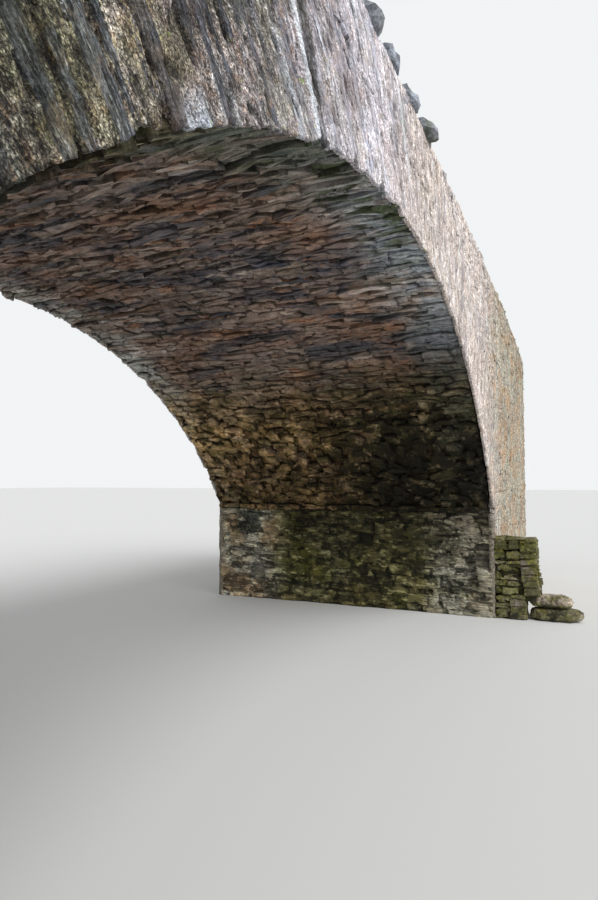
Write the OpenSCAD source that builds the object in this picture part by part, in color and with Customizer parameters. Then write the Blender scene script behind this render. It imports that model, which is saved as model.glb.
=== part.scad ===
// Stone arch bridge of slate rubble: one segmental arch between two abutments, with wing walls,
// low parapets under loose coping stones, a gently humped road and short toe walls at the water.
// Millimetres. X runs along the road, Y from the front face to the back face, and Z up from the
// foot of the walls. The origin lies under the middle of the whole outline.

/* [Arch] */
// Clear span between the two abutment faces
span = 9000; // [7000:100:11000]
// Rise of the soffit from the springing to the crown
rise = 2350; // [1800:50:3000]
// Depth of the arch ring, along a radius
ring_depth = 350; // [250:10:500]
// Length of the face slates of the ring, into the arch
ring_slate_l = 420; // [250:10:600]

/* [Springing] */
// Height of the springing above the foot of the walls
springing_h = 1500; // [1200:50:2500]
// Thickness of the ledge course that the arch springs from
ledge_t = 80; // [50:5:150]
// How far that ledge stands out from the abutment face
ledge_reach = 70; // [30:5:150]
// Depth of each abutment behind its face
abutment_depth = 1500; // [1000:50:2000]

/* [Walls] */
// Width of the bridge over its two faces
width = 4400; // [3400:50:6000]
// Length of the bridge over the ends of its wing walls
length = 18200; // [16000:100:22000]
// Thickness of the spandrel walls, wing walls and parapets
wall_t = 420; // [300:10:600]
// Height of the parapets above the road
parapet_h = 490; // [300:10:900]

/* [Road] */
// Thickness of the road's stone surface
road_t = 100; // [60:10:200]
// Depth of filling between the arch and the road surface at the crown
crown_cover = 60; // [40:10:200]
// Fall of the road from the crown to each end
road_fall = 550; // [300:10:900]

/* [Coping] */
// Mean length of a coping stone along the parapet
coping_l = 380; // [300:10:700]
// Mean thickness of a coping stone
coping_t = 130; // [90:5:200]
// How far the widest coping stones stand out past the wall face
coping_reach = 110; // [60:5:160]
// Mean open gap from one coping stone to the next
coping_gap = 90; // [50:10:300]
// How far the corners of a coping stone lie out of square
coping_skew = 50; // [0:5:80]
// Stones that are still in place on the front right parapet, counted from the crown
front_right_kept = 2; // [1:1:8]

/* [Toe walls] */
// Length of a toe wall along the bank, out from the front face
toe_l = 600; // [500:20:1200]
// Height of a toe wall above the foot of the walls
toe_h = 1080; // [700:20:1150]
// Thickness of a toe wall at its top
toe_t = 450; // [300:10:700]
// Batter of a toe wall's outer end, from its foot to its top
toe_batter = 60; // [0:10:250]
// Length of the toe wall's outer end that rests on the two slabs
toe_seat = 180; // [80:20:300]
// Thickness of each of the two slabs that lie under the outer end of a toe wall
slab_t = 165; // [100:5:220]
// Length of the longer slab, out from under the toe wall
slab_l = 720; // [500:20:1000]

/* [Hidden] */
$fn = 360;
// Straight stretches that the long, flat curve of the hump is drawn with
hump_steps = 28;
half_span = span / 2;
half_width = width / 2;
half_length = length / 2;
inner_y = half_width - wall_t;

// The soffit is one arc of a circle, and the back of the ring follows it
soffit_r = (half_span * half_span + rise * rise) / (2 * rise);
extrados_r = soffit_r + ring_depth;
arch_z = springing_h + rise - soffit_r;
half_angle = asin(half_span / soffit_r);
// Outer end of the skewback, where the back of the ring meets the springer
skew_x = half_span + ring_depth * sin(half_angle);
skew_z = springing_h + ring_depth * cos(half_angle);
abutment_x = half_span + abutment_depth;

// The road is an arc of a very large circle, and every level of the hump keeps to its line
road_z = springing_h + rise + ring_depth + crown_cover + road_t;
road_r = (half_length * half_length + road_fall * road_fall) / (2 * road_fall);
// Higher than everything, for the boxes that the curves are cut from
above = road_z + parapet_h + 2 * coping_t;

// The slabs start under the toe walls and make the front reach further than the back, so the bridge
// is set back by half of that
slab_y = half_width + toe_l - toe_seat;
front_reach = slab_y + slab_l;
back_reach = half_width + coping_reach;
set_back = (front_reach - back_reach) / 2;

// Coping stones of a whole parapet half, and one seed for the shapes on each half
coping_pitch = coping_l + coping_gap;
coping_count = floor(half_length / coping_pitch);
coping_seeds = [11, 23, 37, 41];
// Share of the mean gap by which a stone is longer or shorter, and of the mean thickness
length_vary = 0.7;
thickness_vary = 0.3;

slate_grey = [0.42, 0.40, 0.38];
face_brown = [0.50, 0.45, 0.41];
soffit_brown = [0.38, 0.28, 0.22];
coping_blue = [0.30, 0.33, 0.37];
rubble_grey = [0.45, 0.43, 0.39];
road_grey = [0.48, 0.46, 0.43];

// Each piece is drawn about the middle of the road, for the right end and the back face of the bridge.
// These four set it where it belongs in the part's own frame.
module in_frame() {
    translate([0, set_back, 0]) children();
}

module at_left() {
    in_frame() mirror([1, 0, 0]) children();
}

module at_front() {
    in_frame() mirror([0, 1, 0]) children();
}

module at_front_left() {
    at_front() mirror([1, 0, 0]) children();
}

// Draws an outline of X and Z through the bridge, from one Y to another
module through(y0, y1) {
    translate([0, y1, 0]) rotate([90, 0, 0]) linear_extrude(y1 - y0) children();
}

module box_outline(x0, x1, z0, z1) {
    translate([x0, z0]) square([x1 - x0, z1 - z0]);
}

module arch_disc(r) {
    translate([0, arch_z]) circle(r);
}

// Level of the road at a place along it
function road_level(x) = road_z - road_r + sqrt(road_r * road_r - x * x);

// Everything below a line that keeps to the road's hump at some height over it
module under_hump(over_road) {
    polygon([
        [-half_length, 0],
        for (i = [0 : hump_steps])
            let (x = half_length * (2 * i / hump_steps - 1))
            [x, road_level(x) + over_road],
        [half_length, 0]
    ]);
}

// The ring's section along the road: between soffit and extrados, down to the two skewbacks
module ring_outline() {
    reach = 2 * extrados_r;
    intersection() {
        difference() {
            arch_disc(extrados_r);
            arch_disc(soffit_r);
        }
        translate([0, arch_z]) polygon([
            [0, 0],
            [reach * sin(half_angle), reach * cos(half_angle)],
            [-reach * sin(half_angle), reach * cos(half_angle)]
        ]);
    }
}

// Everything that stands over the back of the arch and its springer, up to a level of the hump
module over_arch_outline(over_road) {
    difference() {
        intersection() {
            box_outline(0, abutment_x, springing_h, above);
            under_hump(over_road);
        }
        arch_disc(extrados_r);
        box_outline(0, abutment_x, 0, skew_z);
    }
}

// Everything between the abutment and the end of the wing walls, up to a level of the hump
module approach_outline(over_road) {
    intersection() {
        box_outline(abutment_x, half_length, 0, above);
        under_hump(over_road);
    }
}

module arch_barrel() {
    color(soffit_brown) through(-half_width + ring_slate_l, half_width - ring_slate_l) ring_outline();
}

// The face slates of one half of the arch, from its springer up to the crown
module arch_ring() {
    color(face_brown) through(half_width - ring_slate_l, half_width) intersection() {
        ring_outline();
        box_outline(0, skew_x, 0, above);
    }
}

module abutment() {
    color(slate_grey) through(-half_width, half_width) polygon([
        [half_span, 0],
        [abutment_x, 0],
        [abutment_x, skew_z],
        [skew_x, skew_z],
        [skew_x, springing_h - ledge_t],
        [half_span, springing_h - ledge_t]
    ]);
}

// The springer stones: a thin ledge in front, and the sloping bed that the arch stands on
module springer_course() {
    color(slate_grey) through(-half_width, half_width) polygon([
        [half_span - ledge_reach, springing_h - ledge_t],
        [skew_x, springing_h - ledge_t],
        [skew_x, skew_z],
        [half_span, springing_h],
        [half_span - ledge_reach, springing_h]
    ]);
}

module spandrel() {
    color(face_brown) through(inner_y, half_width) over_arch_outline(0);
}

module wing_wall() {
    color(face_brown) through(inner_y, half_width) approach_outline(0);
}

module parapet() {
    color(face_brown) through(inner_y, half_width) difference() {
        intersection() {
            box_outline(0, half_length, 0, above);
            under_hump(parapet_h);
        }
        under_hump(0);
    }
}

module haunch_fill() {
    color(rubble_grey) through(-inner_y, inner_y) over_arch_outline(-road_t);
}

module approach_fill() {
    color(rubble_grey) through(-inner_y, inner_y) approach_outline(-road_t);
}

module roadway() {
    color(road_grey) through(-inner_y, inner_y) difference() {
        under_hump(0);
        under_hump(-road_t);
    }
}

// One rough coping stone: an uneven six-sided slab with its ends and its sides out of square.
// It lies on the parapet's own curve and stands out past the wall face.
module coping_stone(x, l, t, reach, skew) {
    difference() {
        translate([x, 0, 0]) linear_extrude(road_level(x) + parapet_h + t)
            polygon([
                [-l / 2, inner_y + skew],
                [-l / 6, inner_y],
                [l / 2 - skew, inner_y + skew / 2],
                [l / 2, half_width + reach - skew],
                [l / 6, half_width + reach],
                [-l / 2 + skew, half_width + reach / 2]
            ]);
        through(0, 2 * half_width) under_hump(parapet_h);
    }
}

// A row of coping stones on one half of a parapet, each different and with gaps between them.
// Every third stone stands out by the full reach.
module coping(seed, count) {
    roll = rands(-1, 1, 4 * count, seed);
    color(coping_blue) for (i = [0 : count - 1])
        coping_stone(
            (i + 0.5) * coping_pitch,
            coping_l + coping_gap * length_vary * roll[4 * i],
            coping_t * (1 + thickness_vary * roll[4 * i + 1]),
            i % 3 == 1 ? coping_reach : coping_reach * abs(roll[4 * i + 2]),
            coping_skew * abs(roll[4 * i + 3])
        );
}

// The dry-stone wall that holds the bank in front of the abutment. Its outer end is battered and
// rests on the slabs, and the rest of it goes down to the foot of the walls.
module toe_wall() {
    color(slate_grey) translate([half_span + toe_t, half_width, 0]) rotate([90, 0, -90])
        linear_extrude(toe_t) polygon([
            [0, 0],
            [-toe_l + toe_seat, 0],
            [-toe_l + toe_seat, 2 * slab_t],
            [-toe_l, 2 * slab_t],
            [-toe_l + toe_batter, toe_h],
            [0, toe_h]
        ]);
}

// Two flat, uneven slabs at the water, one on the other, that carry the toe wall's outer end
module toe_slabs() {
    color(slate_grey) translate([half_span, slab_y, 0]) union() {
        linear_extrude(slab_t) polygon([
            [0, 0],
            [toe_t, 0],
            [toe_t, slab_l * 0.8],
            [toe_t * 0.5, slab_l],
            [toe_t * 0.1, slab_l * 0.93]
        ]);
        linear_extrude(2 * slab_t) polygon([
            [toe_t * 0.05, 0],
            [toe_t, 0],
            [toe_t, slab_l * 0.65],
            [toe_t * 0.5, slab_l * 0.8],
            [toe_t * 0.12, slab_l * 0.7]
        ]);
    }
}

in_frame() arch_barrel();
at_front_left() arch_ring();  // front_left_arch_ring
at_front() arch_ring();  // front_right_arch_ring
at_left() arch_ring();  // back_left_arch_ring
in_frame() arch_ring();  // back_right_arch_ring
at_left() abutment();  // left_abutment
in_frame() abutment();  // right_abutment
at_left() springer_course();  // left_springer_course
in_frame() springer_course();  // right_springer_course
at_front_left() spandrel();  // front_left_spandrel
at_front() spandrel();  // front_right_spandrel
at_left() spandrel();  // back_left_spandrel
in_frame() spandrel();  // back_right_spandrel
at_front_left() wing_wall();  // front_left_wing_wall
at_front() wing_wall();  // front_right_wing_wall
at_left() wing_wall();  // back_left_wing_wall
in_frame() wing_wall();  // back_right_wing_wall
at_front_left() parapet();  // front_left_parapet
at_front() parapet();  // front_right_parapet
at_left() parapet();  // back_left_parapet
in_frame() parapet();  // back_right_parapet
at_front_left() coping(coping_seeds[0], coping_count);  // front_left_coping
at_front() coping(coping_seeds[1], front_right_kept);  // front_right_coping
at_left() coping(coping_seeds[2], coping_count);  // back_left_coping
in_frame() coping(coping_seeds[3], coping_count);  // back_right_coping
at_left() haunch_fill();  // left_haunch_fill
in_frame() haunch_fill();  // right_haunch_fill
at_left() approach_fill();  // left_approach_fill
in_frame() approach_fill();  // right_approach_fill
in_frame() roadway();
at_front_left() toe_wall();  // front_left_toe_wall
at_front() toe_wall();  // front_right_toe_wall
at_front_left() toe_slabs();  // front_left_toe_slabs
at_front() toe_slabs();  // front_right_toe_slabs
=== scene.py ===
# %% [markdown]
# # Dressing a slate rubble bridge
# The packed CAD part gives the bridge's masses: arch, walls, fills, coping and toe walls. This script
# dresses them with real slates. A wall of rubble could be a flat face with a bump on it, but the arch is
# seen from right under it, so its slates need true edges that catch light and throw shadows. So each
# mass is set back a little as a bed of mortar, and thousands of slates are laid on it.

# %% Load the frame
import math
import random

import bmesh
import bpy
from mathutils import Matrix, Vector, noise
from mathutils.bvhtree import BVHTree


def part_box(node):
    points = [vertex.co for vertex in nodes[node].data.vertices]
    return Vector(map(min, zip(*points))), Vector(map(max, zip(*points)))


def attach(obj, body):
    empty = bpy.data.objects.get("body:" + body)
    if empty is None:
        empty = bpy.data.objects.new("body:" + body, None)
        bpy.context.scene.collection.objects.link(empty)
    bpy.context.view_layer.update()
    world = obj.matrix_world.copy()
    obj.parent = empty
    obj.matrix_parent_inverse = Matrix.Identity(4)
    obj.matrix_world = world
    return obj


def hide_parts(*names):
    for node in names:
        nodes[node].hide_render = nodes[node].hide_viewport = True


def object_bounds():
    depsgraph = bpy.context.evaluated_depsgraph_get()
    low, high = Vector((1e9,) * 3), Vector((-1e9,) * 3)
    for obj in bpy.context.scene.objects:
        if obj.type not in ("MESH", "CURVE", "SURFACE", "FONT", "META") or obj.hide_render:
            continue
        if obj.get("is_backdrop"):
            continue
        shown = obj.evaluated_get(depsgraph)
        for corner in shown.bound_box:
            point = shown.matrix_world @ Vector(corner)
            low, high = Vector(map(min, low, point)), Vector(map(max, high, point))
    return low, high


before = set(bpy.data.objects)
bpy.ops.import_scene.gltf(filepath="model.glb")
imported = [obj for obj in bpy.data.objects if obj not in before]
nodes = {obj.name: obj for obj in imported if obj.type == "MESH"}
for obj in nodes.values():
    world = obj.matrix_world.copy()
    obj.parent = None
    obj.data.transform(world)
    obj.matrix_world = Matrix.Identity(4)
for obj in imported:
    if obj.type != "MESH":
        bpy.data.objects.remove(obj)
cad_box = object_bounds()
print("CAD nodes:", len(nodes))

# %% [markdown]
# ## Sizes of the real thing
# The walls' planes are read from the CAD nodes. The arch is one arc of a circle and the road is another,
# much larger one, so their radii follow from a span and a rise, as they do on paper.

# %% Sizes
wing_low, wing_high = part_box("back_right_wing_wall")
front_low, front_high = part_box("front_right_wing_wall")
abutment_low, abutment_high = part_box("right_abutment")
FRONT_Y, FRONT_INNER_Y = front_low.y, front_high.y
BACK_Y, BACK_INNER_Y = wing_high.y, wing_low.y
MIDDLE_Y = (FRONT_Y + BACK_Y) / 2
HALF_SPAN, WING_X, END_X = abutment_low.x, abutment_high.x, wing_high.x
FACES = (("front", FRONT_Y, FRONT_INNER_Y, -1), ("back", BACK_Y, BACK_INNER_Y, 1))
SIDES = (("left", -1), ("right", 1))

SPRINGING_Z, RISE, RING_DEPTH = 1.5, 2.35, 0.35
LEDGE_T, LEDGE_REACH = 0.08, 0.07
SOFFIT_R = (HALF_SPAN ** 2 + RISE ** 2) / (2 * RISE)
EXTRADOS_R = SOFFIT_R + RING_DEPTH
ARCH_Z = SPRINGING_Z + RISE - SOFFIT_R
HALF_ANGLE = math.asin(HALF_SPAN / SOFFIT_R)
ARC = SOFFIT_R * HALF_ANGLE
SKEW_X, SKEW_Z = EXTRADOS_R * math.sin(HALF_ANGLE), ARCH_Z + EXTRADOS_R * math.cos(HALF_ANGLE)

ROAD_Z, ROAD_FALL, ROAD_T, PARAPET_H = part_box("roadway")[1].z, 0.55, 0.1, 0.49
ROAD_R = (END_X ** 2 + ROAD_FALL ** 2) / (2 * ROAD_FALL)


def road_level(x):
    return ROAD_Z - ROAD_R + math.sqrt(ROAD_R ** 2 - x ** 2)


def parapet_level(x):
    return road_level(x) + PARAPET_H


DECK_END_Z = road_level(END_X)
print(f"soffit radius {SOFFIT_R:.3f} m, road level at the ends {DECK_END_Z:.3f} m")

# %% [markdown]
# ## Camera
# The view is from low down in front of the bridge's left half, up into the arch. Its place and its turn
# were solved from the arch's own edges, and the horizon is level, so there is no roll.

# %% Camera
EYE = Vector((-4.588, FRONT_Y - 1.238, 1.859))
YAW, PITCH = math.radians(24.702), math.radians(2.849)
FOCAL_PX, FRAME_HEIGHT_PX, SENSOR_MM = 636.31, 900, 36


def placed(name, data):
    """A new object in the scene that holds the data."""
    made = bpy.data.objects.new(name, data)
    bpy.context.scene.collection.objects.link(made)
    return made


camera_data = bpy.data.cameras.new("camera")
camera_data.sensor_fit, camera_data.sensor_height = "VERTICAL", SENSOR_MM
camera_data.lens = FOCAL_PX / FRAME_HEIGHT_PX * SENSOR_MM
camera_data.clip_start, camera_data.clip_end = 0.02, 500
camera = placed("camera", camera_data)
ahead = Vector((math.cos(PITCH) * math.cos(YAW), math.cos(PITCH) * math.sin(YAW), math.sin(PITCH)))
camera.matrix_world = Matrix.Translation(EYE) @ ahead.to_track_quat("-Z", "Y").to_matrix().to_4x4()
bpy.context.scene.camera = camera
print("lens", round(camera_data.lens, 2), "mm")

# %% [markdown]
# ## Shader maths in plain Python
# Each finish is a field of numbers that varies over the stone: tints, stains, moss, grain. Wiring dozens
# of nodes by hand is hard to read, so one small class wraps a socket and lets Python's own operators add
# the Math nodes. Any other node comes from its node() method.


# %% One class for sockets
class Field:
    def __init__(self, tree, socket=None):
        self.tree, self.socket = tree, socket

    def node(self, kind, settings=None, inputs=None, output=0):
        made = self.tree.nodes.new(kind)
        for name, value in (settings or {}).items():
            if name == "stops":
                ramp = made.color_ramp
                while len(ramp.elements) < len(value):
                    ramp.elements.new(1.0)
                for element, (place, *colour) in zip(ramp.elements, value):
                    element.position = place
                    element.color = (*colour, 1)
            else:
                setattr(made, name, value)
        for key, value in (inputs or {}).items():
            if isinstance(value, Field):
                self.tree.links.new(value.socket, made.inputs[key])
            elif isinstance(value, tuple) and len(made.inputs[key].default_value) == 4:
                made.inputs[key].default_value = (*value, 1)
            else:
                made.inputs[key].default_value = value
        return Field(self.tree, made.outputs[output])

    def maths(self, operation, *others):
        return self.node("ShaderNodeMath", {"operation": operation}, dict(enumerate((self, *others))))

    def __add__(self, other):
        return self.maths("ADD", other)

    def __sub__(self, other):
        return self.maths("SUBTRACT", other)

    def __rsub__(self, other):
        return self.maths("MULTIPLY_ADD", -1.0, other)

    def __mul__(self, other):
        return self.maths("MULTIPLY", other)

    def __abs__(self):
        return self.maths("ABSOLUTE")

    __radd__ = __add__
    __rmul__ = __mul__

    def between(self, low, high):
        """A soft step from 0 at low to 1 at high. It falls where high is below low."""
        return self.node("ShaderNodeMapRange", {"interpolation_type": "SMOOTHSTEP"},
                         {"Value": self, "From Min": low, "From Max": high})

    def within(self, low, full, fading, high):
        """A soft band: it rises from low to full, and falls again from fading to high."""
        return self.between(low, full) * self.between(high, fading)

    def noise(self, scale, detail=3.0, rough=0.55):
        return self.node("ShaderNodeTexNoise", None,
                         {"Vector": self, "Scale": scale, "Detail": detail, "Roughness": rough})

    def stretched(self, x, y, z):
        return self.node("ShaderNodeVectorMath", {"operation": "MULTIPLY"}, {0: self, 1: (x, y, z)})

    def shifted(self, by):
        return self.node("ShaderNodeVectorMath", {"operation": "ADD"}, {0: self, 1: by})

    def axis(self, name):
        return self.node("ShaderNodeSeparateXYZ", None, {"Vector": self}, name)

    def axes(self):
        return [self.axis(name) for name in "XYZ"]

    def combined(self, x, y, z):
        return self.node("ShaderNodeCombineXYZ", None, {"X": x, "Y": y, "Z": z})

    def attribute(self, name, output="Fac"):
        return self.node("ShaderNodeAttribute", {"attribute_name": name}, output=output)

    def ramp(self, stops):
        return self.node("ShaderNodeValToRGB", {"stops": stops}, {"Fac": self})

    def towards(self, other, amount):
        return self.node("ShaderNodeMix", {"data_type": "RGBA"}, {0: amount, 6: self, 7: other}, 2)

    def blend(self, low, high):
        """A colour that goes from low to high as this field goes from 0 to 1."""
        return self.node("ShaderNodeMix", {"data_type": "RGBA"}, {0: self, 6: low, 7: high}, 2)

    def shaded(self, amount):
        return self.node("ShaderNodeMix", {"data_type": "RGBA", "blend_type": "MULTIPLY"},
                         {0: 1.0, 6: self, 7: amount}, 2)


print("a field has", sum(callable(value) for value in vars(Field).values()), "operations")

# %% [markdown]
# ## Coordinates round the arch
# The stains and the joints follow the arch, so both need coordinates round it: along its curve, out along a
# radius, and across the bridge. The joints lean back a little from the radii, by a rule that the finishes
# and the meshes share.

# %% Coordinates round the arch
LEAN, LEAN_CHANGES = 0.10, ((0.40, -3.2, -2.0), (-0.20, 0.0, 1.0))
JOINTS_REACH = 1.15


def lean_at(curve, step):
    """How far the joints lean back. It takes a number with its soft step, or a field with between."""
    return sum((change * step(curve, low, high) for change, low, high in LEAN_CHANGES), LEAN)


def around_arch(place, bedded=False):
    """Leaning coordinates, then the plain ones along the curve and out from the soffit. Away from the arch
    the first are those of the wall: upright for what runs down it, or level for its bedding."""
    x, y, z = place.axes()
    up = z - ARCH_Z
    curve = x.maths("ARCTAN2", up) * SOFFIT_R
    radius = (x * x + up * up).maths("POWER", 0.5) - SOFFIT_R
    polar = place.combined(curve + lean_at(curve, Field.between) * radius, radius, y)
    upright = place.combined(z, x, y) if bedded else place.combined(x, z, y)
    away = (radius - JOINTS_REACH).maths("MAXIMUM", abs(curve) - ARC)
    away = (away + 0.7 * (place.noise(2.6, 3.0) - 0.5)).maths("GREATER_THAN", 0.0)
    return polar.towards(upright, away), curve, radius


print(f"the arch is {2 * ARC:.2f} m along its curve")

# %% [markdown]
# ## One recipe for weathered slate
# All the slate is of one kind, and what differs is what the weather did to it. So one recipe makes every
# finish: a tint for each stone, fine bedding lines along it, a speckle of grit, then rust, lime, black algae
# and moss, each where a noise in the bridge's own coordinates says so. The stone's tint and grain come as
# attributes that the slates carry. Mortar takes the same stains, so they run over stone and joint.

# %% Recipe
BUMP_DEPTH, SPECULAR = 0.006, 0.30
finishes = bpy.data.materials


def new_finish(name):
    material = finishes.new(name)
    material.use_nodes = True
    place = Field(material.node_tree).node("ShaderNodeTexCoord", output="Object")
    return material.node_tree.nodes["Principled BSDF"], place.shifted((0, -MIDDLE_Y, 0))


def close_finish(shader, colour, roughness, height):
    bump = height.node("ShaderNodeBump", None, {"Strength": 1.0, "Distance": BUMP_DEPTH, "Height": height})
    for field, name in ((colour, "Base Color"), (roughness, "Roughness"), (bump, "Normal")):
        field.tree.links.new(field.socket, shader.inputs[name])
    shader.inputs["Specular IOR Level"].default_value = SPECULAR


def patches(at, seed, scale, low, high, ragged=0.16):
    """A mask of irregular patches, with small-scale noise along their edges."""
    moved = at.shifted((seed, -0.7 * seed, 0.4 * seed))
    return (moved.noise(scale, 4.0, 0.6) + ragged * (moved.noise(scale * 11, 2.0) - 0.5)).between(low, high)


def stained(colour, place, stains, taking=1.0):
    layers, shade = stains(place)
    for stain, mask in layers:
        colour = colour.towards(stain, mask * taking)
    return colour.shaded(shade)


def slate_finish(name, stains, *tints):
    """Stone: painted shade at its tail and at its edges, with ledges, flakes and grit."""
    shader, place = new_finish(name)
    tint, own = place.attribute("tint"), place.attribute("local", "Vector")
    far, out, up = own.axes()
    # outer is a painted shade: darker towards each slate's tail, its ends and its top and bottom edges, and
    # kept lighter near the front face of the bridge.
    outer = out.between(-0.06, -0.006) * (1 - 0.6 * abs(far).between(0.098, 0.124))
    outer = outer * (1 - 0.34 * abs(up).between(0.017, 0.031))
    outer = outer.maths("MAXIMUM", 0.62 * place.axis("Y").between(-2.10, -2.15))
    own = own.shifted(tint * 37.0)
    ledges = own.stretched(7, 22, 52).noise(1.0, 4.0, 0.7).between(0.30, 0.70)
    flakes = own.stretched(17, 30, 26).noise(1.0, 3.0, 0.6).between(0.38, 0.62)
    grit = place.noise(95, 3.0, 0.7).between(0.32, 0.68)
    relief = 0.44 + 0.46 * ledges + 0.46 * flakes + 0.5 * (grit - 0.5)
    colour = stained(tint.ramp(tints), place, stains).shaded((0.14 + 0.90 * outer) * relief)
    close_finish(shader, colour, 0.74 + 0.22 * grit, 0.8 * ledges + 0.4 * grit + 0.7 * flakes)
    print("slate:", name)


def mortar_finish(name, stains, *tones, slates=None, skinned=True, radial=False):
    """Mortar: lumps, grit and gravel, with painted shade between the grains. A skin also carries its pits,
    which take a painted shade, and the slates that stand in it, with a painted shadow along their edges.
    """
    shader, place = new_finish(name)
    x, y, z = place.axes()
    bedded, near, soft, combed = place.combined(z, y, x), 0.6, 0.0, 0.56
    if radial:
        bedded = around_arch(place, bedded=True)[0]
        near = 0.40 + 0.60 * x.between(-1.5, -3.1) * y.between(0.5, -0.5)
        soft = 1 - x.between(0.8, -1.2) * y.between(-0.2, -1.2)
        combed = combed - 0.30 * x.between(-2.2, -3.0)
    strewn = bedded.stretched(1.0, 0.8, 1.0)
    gravel = strewn.node("ShaderNodeTexVoronoi", None, {"Vector": strewn, "Scale": 150.0})
    kind = Field(place.tree, gravel.socket.node.outputs["Color"]).axis("X")
    # The hollows between the gravel's grains, which take a painted shade in crisp below.
    gaps = gravel.between(0.48, 0.74)
    lumps = strewn.noise(19, 3.0, 0.62).between(0.34, 0.66)
    grit = strewn.noise(62, 3.0, 0.65).between(0.39, 0.61)
    ribs = bedded.stretched(46, 5.5, 46).noise(1.0, 3.0, 0.6).between(0.37, 0.63)
    colour = (0.36 * lumps + 0.30 * grit + 0.34 * kind).ramp(tones)
    height = 1.5 * lumps + 0.9 * grit + 0.6 * ribs - 0.5 * gaps
    open_mortar, taking = near, 1.0
    if slates:
        fibres = bedded.stretched(110, 8, 70).noise(1.0, 3.0, 0.7).between(0.36, 0.64)
        flecks = bedded.stretched(80, 9, 50).noise(1.0, 3.0, 0.6).between(0.60, 0.64)
        edge = place.attribute("slate") + 0.8 * (bedded.stretched(60, 12, 40).noise(1.0, 3.0, 0.7) - 0.5)
        # rim is a painted shadow along each slate's edge.
        rim, edge = edge.within(0.20, 0.36, 0.44, 0.56), edge.between(0.45, 0.53)
        kinds = place.attribute("tint").ramp(slates).shaded(0.22 + 1.32 * fibres)
        kinds = kinds.towards((0.92, 0.92, 0.90), 0.75 * flecks)
        colour = colour.towards(kinds, edge).shaded(1 - 0.62 * rim)
        height = height * (1 - 0.6 * edge) + 1.2 * edge * fibres
        open_mortar, taking = near * (1 - 0.75 * edge), 1 - 0.7 * edge * x.between(-2.0, -2.9)
    colour = stained(colour, place, stains, taking)
    crisp = (0.74 + 0.52 * lumps + 0.60 * grit) * (1 - 0.70 * gaps) * (0.74 + 0.70 * kind)
    colour = colour.shaded((1 + open_mortar * (crisp - 1)) * (1 + combed * (ribs - 0.5)))
    if skinned:
        # A painted shade in the skin's hollows, read from its relief; soft makes it lighter everywhere but on
        # the front left.
        pits = 1 - place.attribute("relief").between(0.08, 0.55)
        colour = colour.shaded(1.08 - pits * (0.85 - 0.40 * soft))
    close_finish(shader, colour, 0.82 + 0.15 * grit, height)
    print("mortar:", name)


# %% [markdown]
# ## Under the arch
# Damp brings rust and blue-black under the arch, tan and black algae low down, and moss and a grey-green
# bloom along the edges. Each stain is a colour with its mask: patches of noise, held to a part of the curve
# or of the width. After the stains comes what the whole place takes: how dark it is, with painted light
# under the crown, and its hue.


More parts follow.
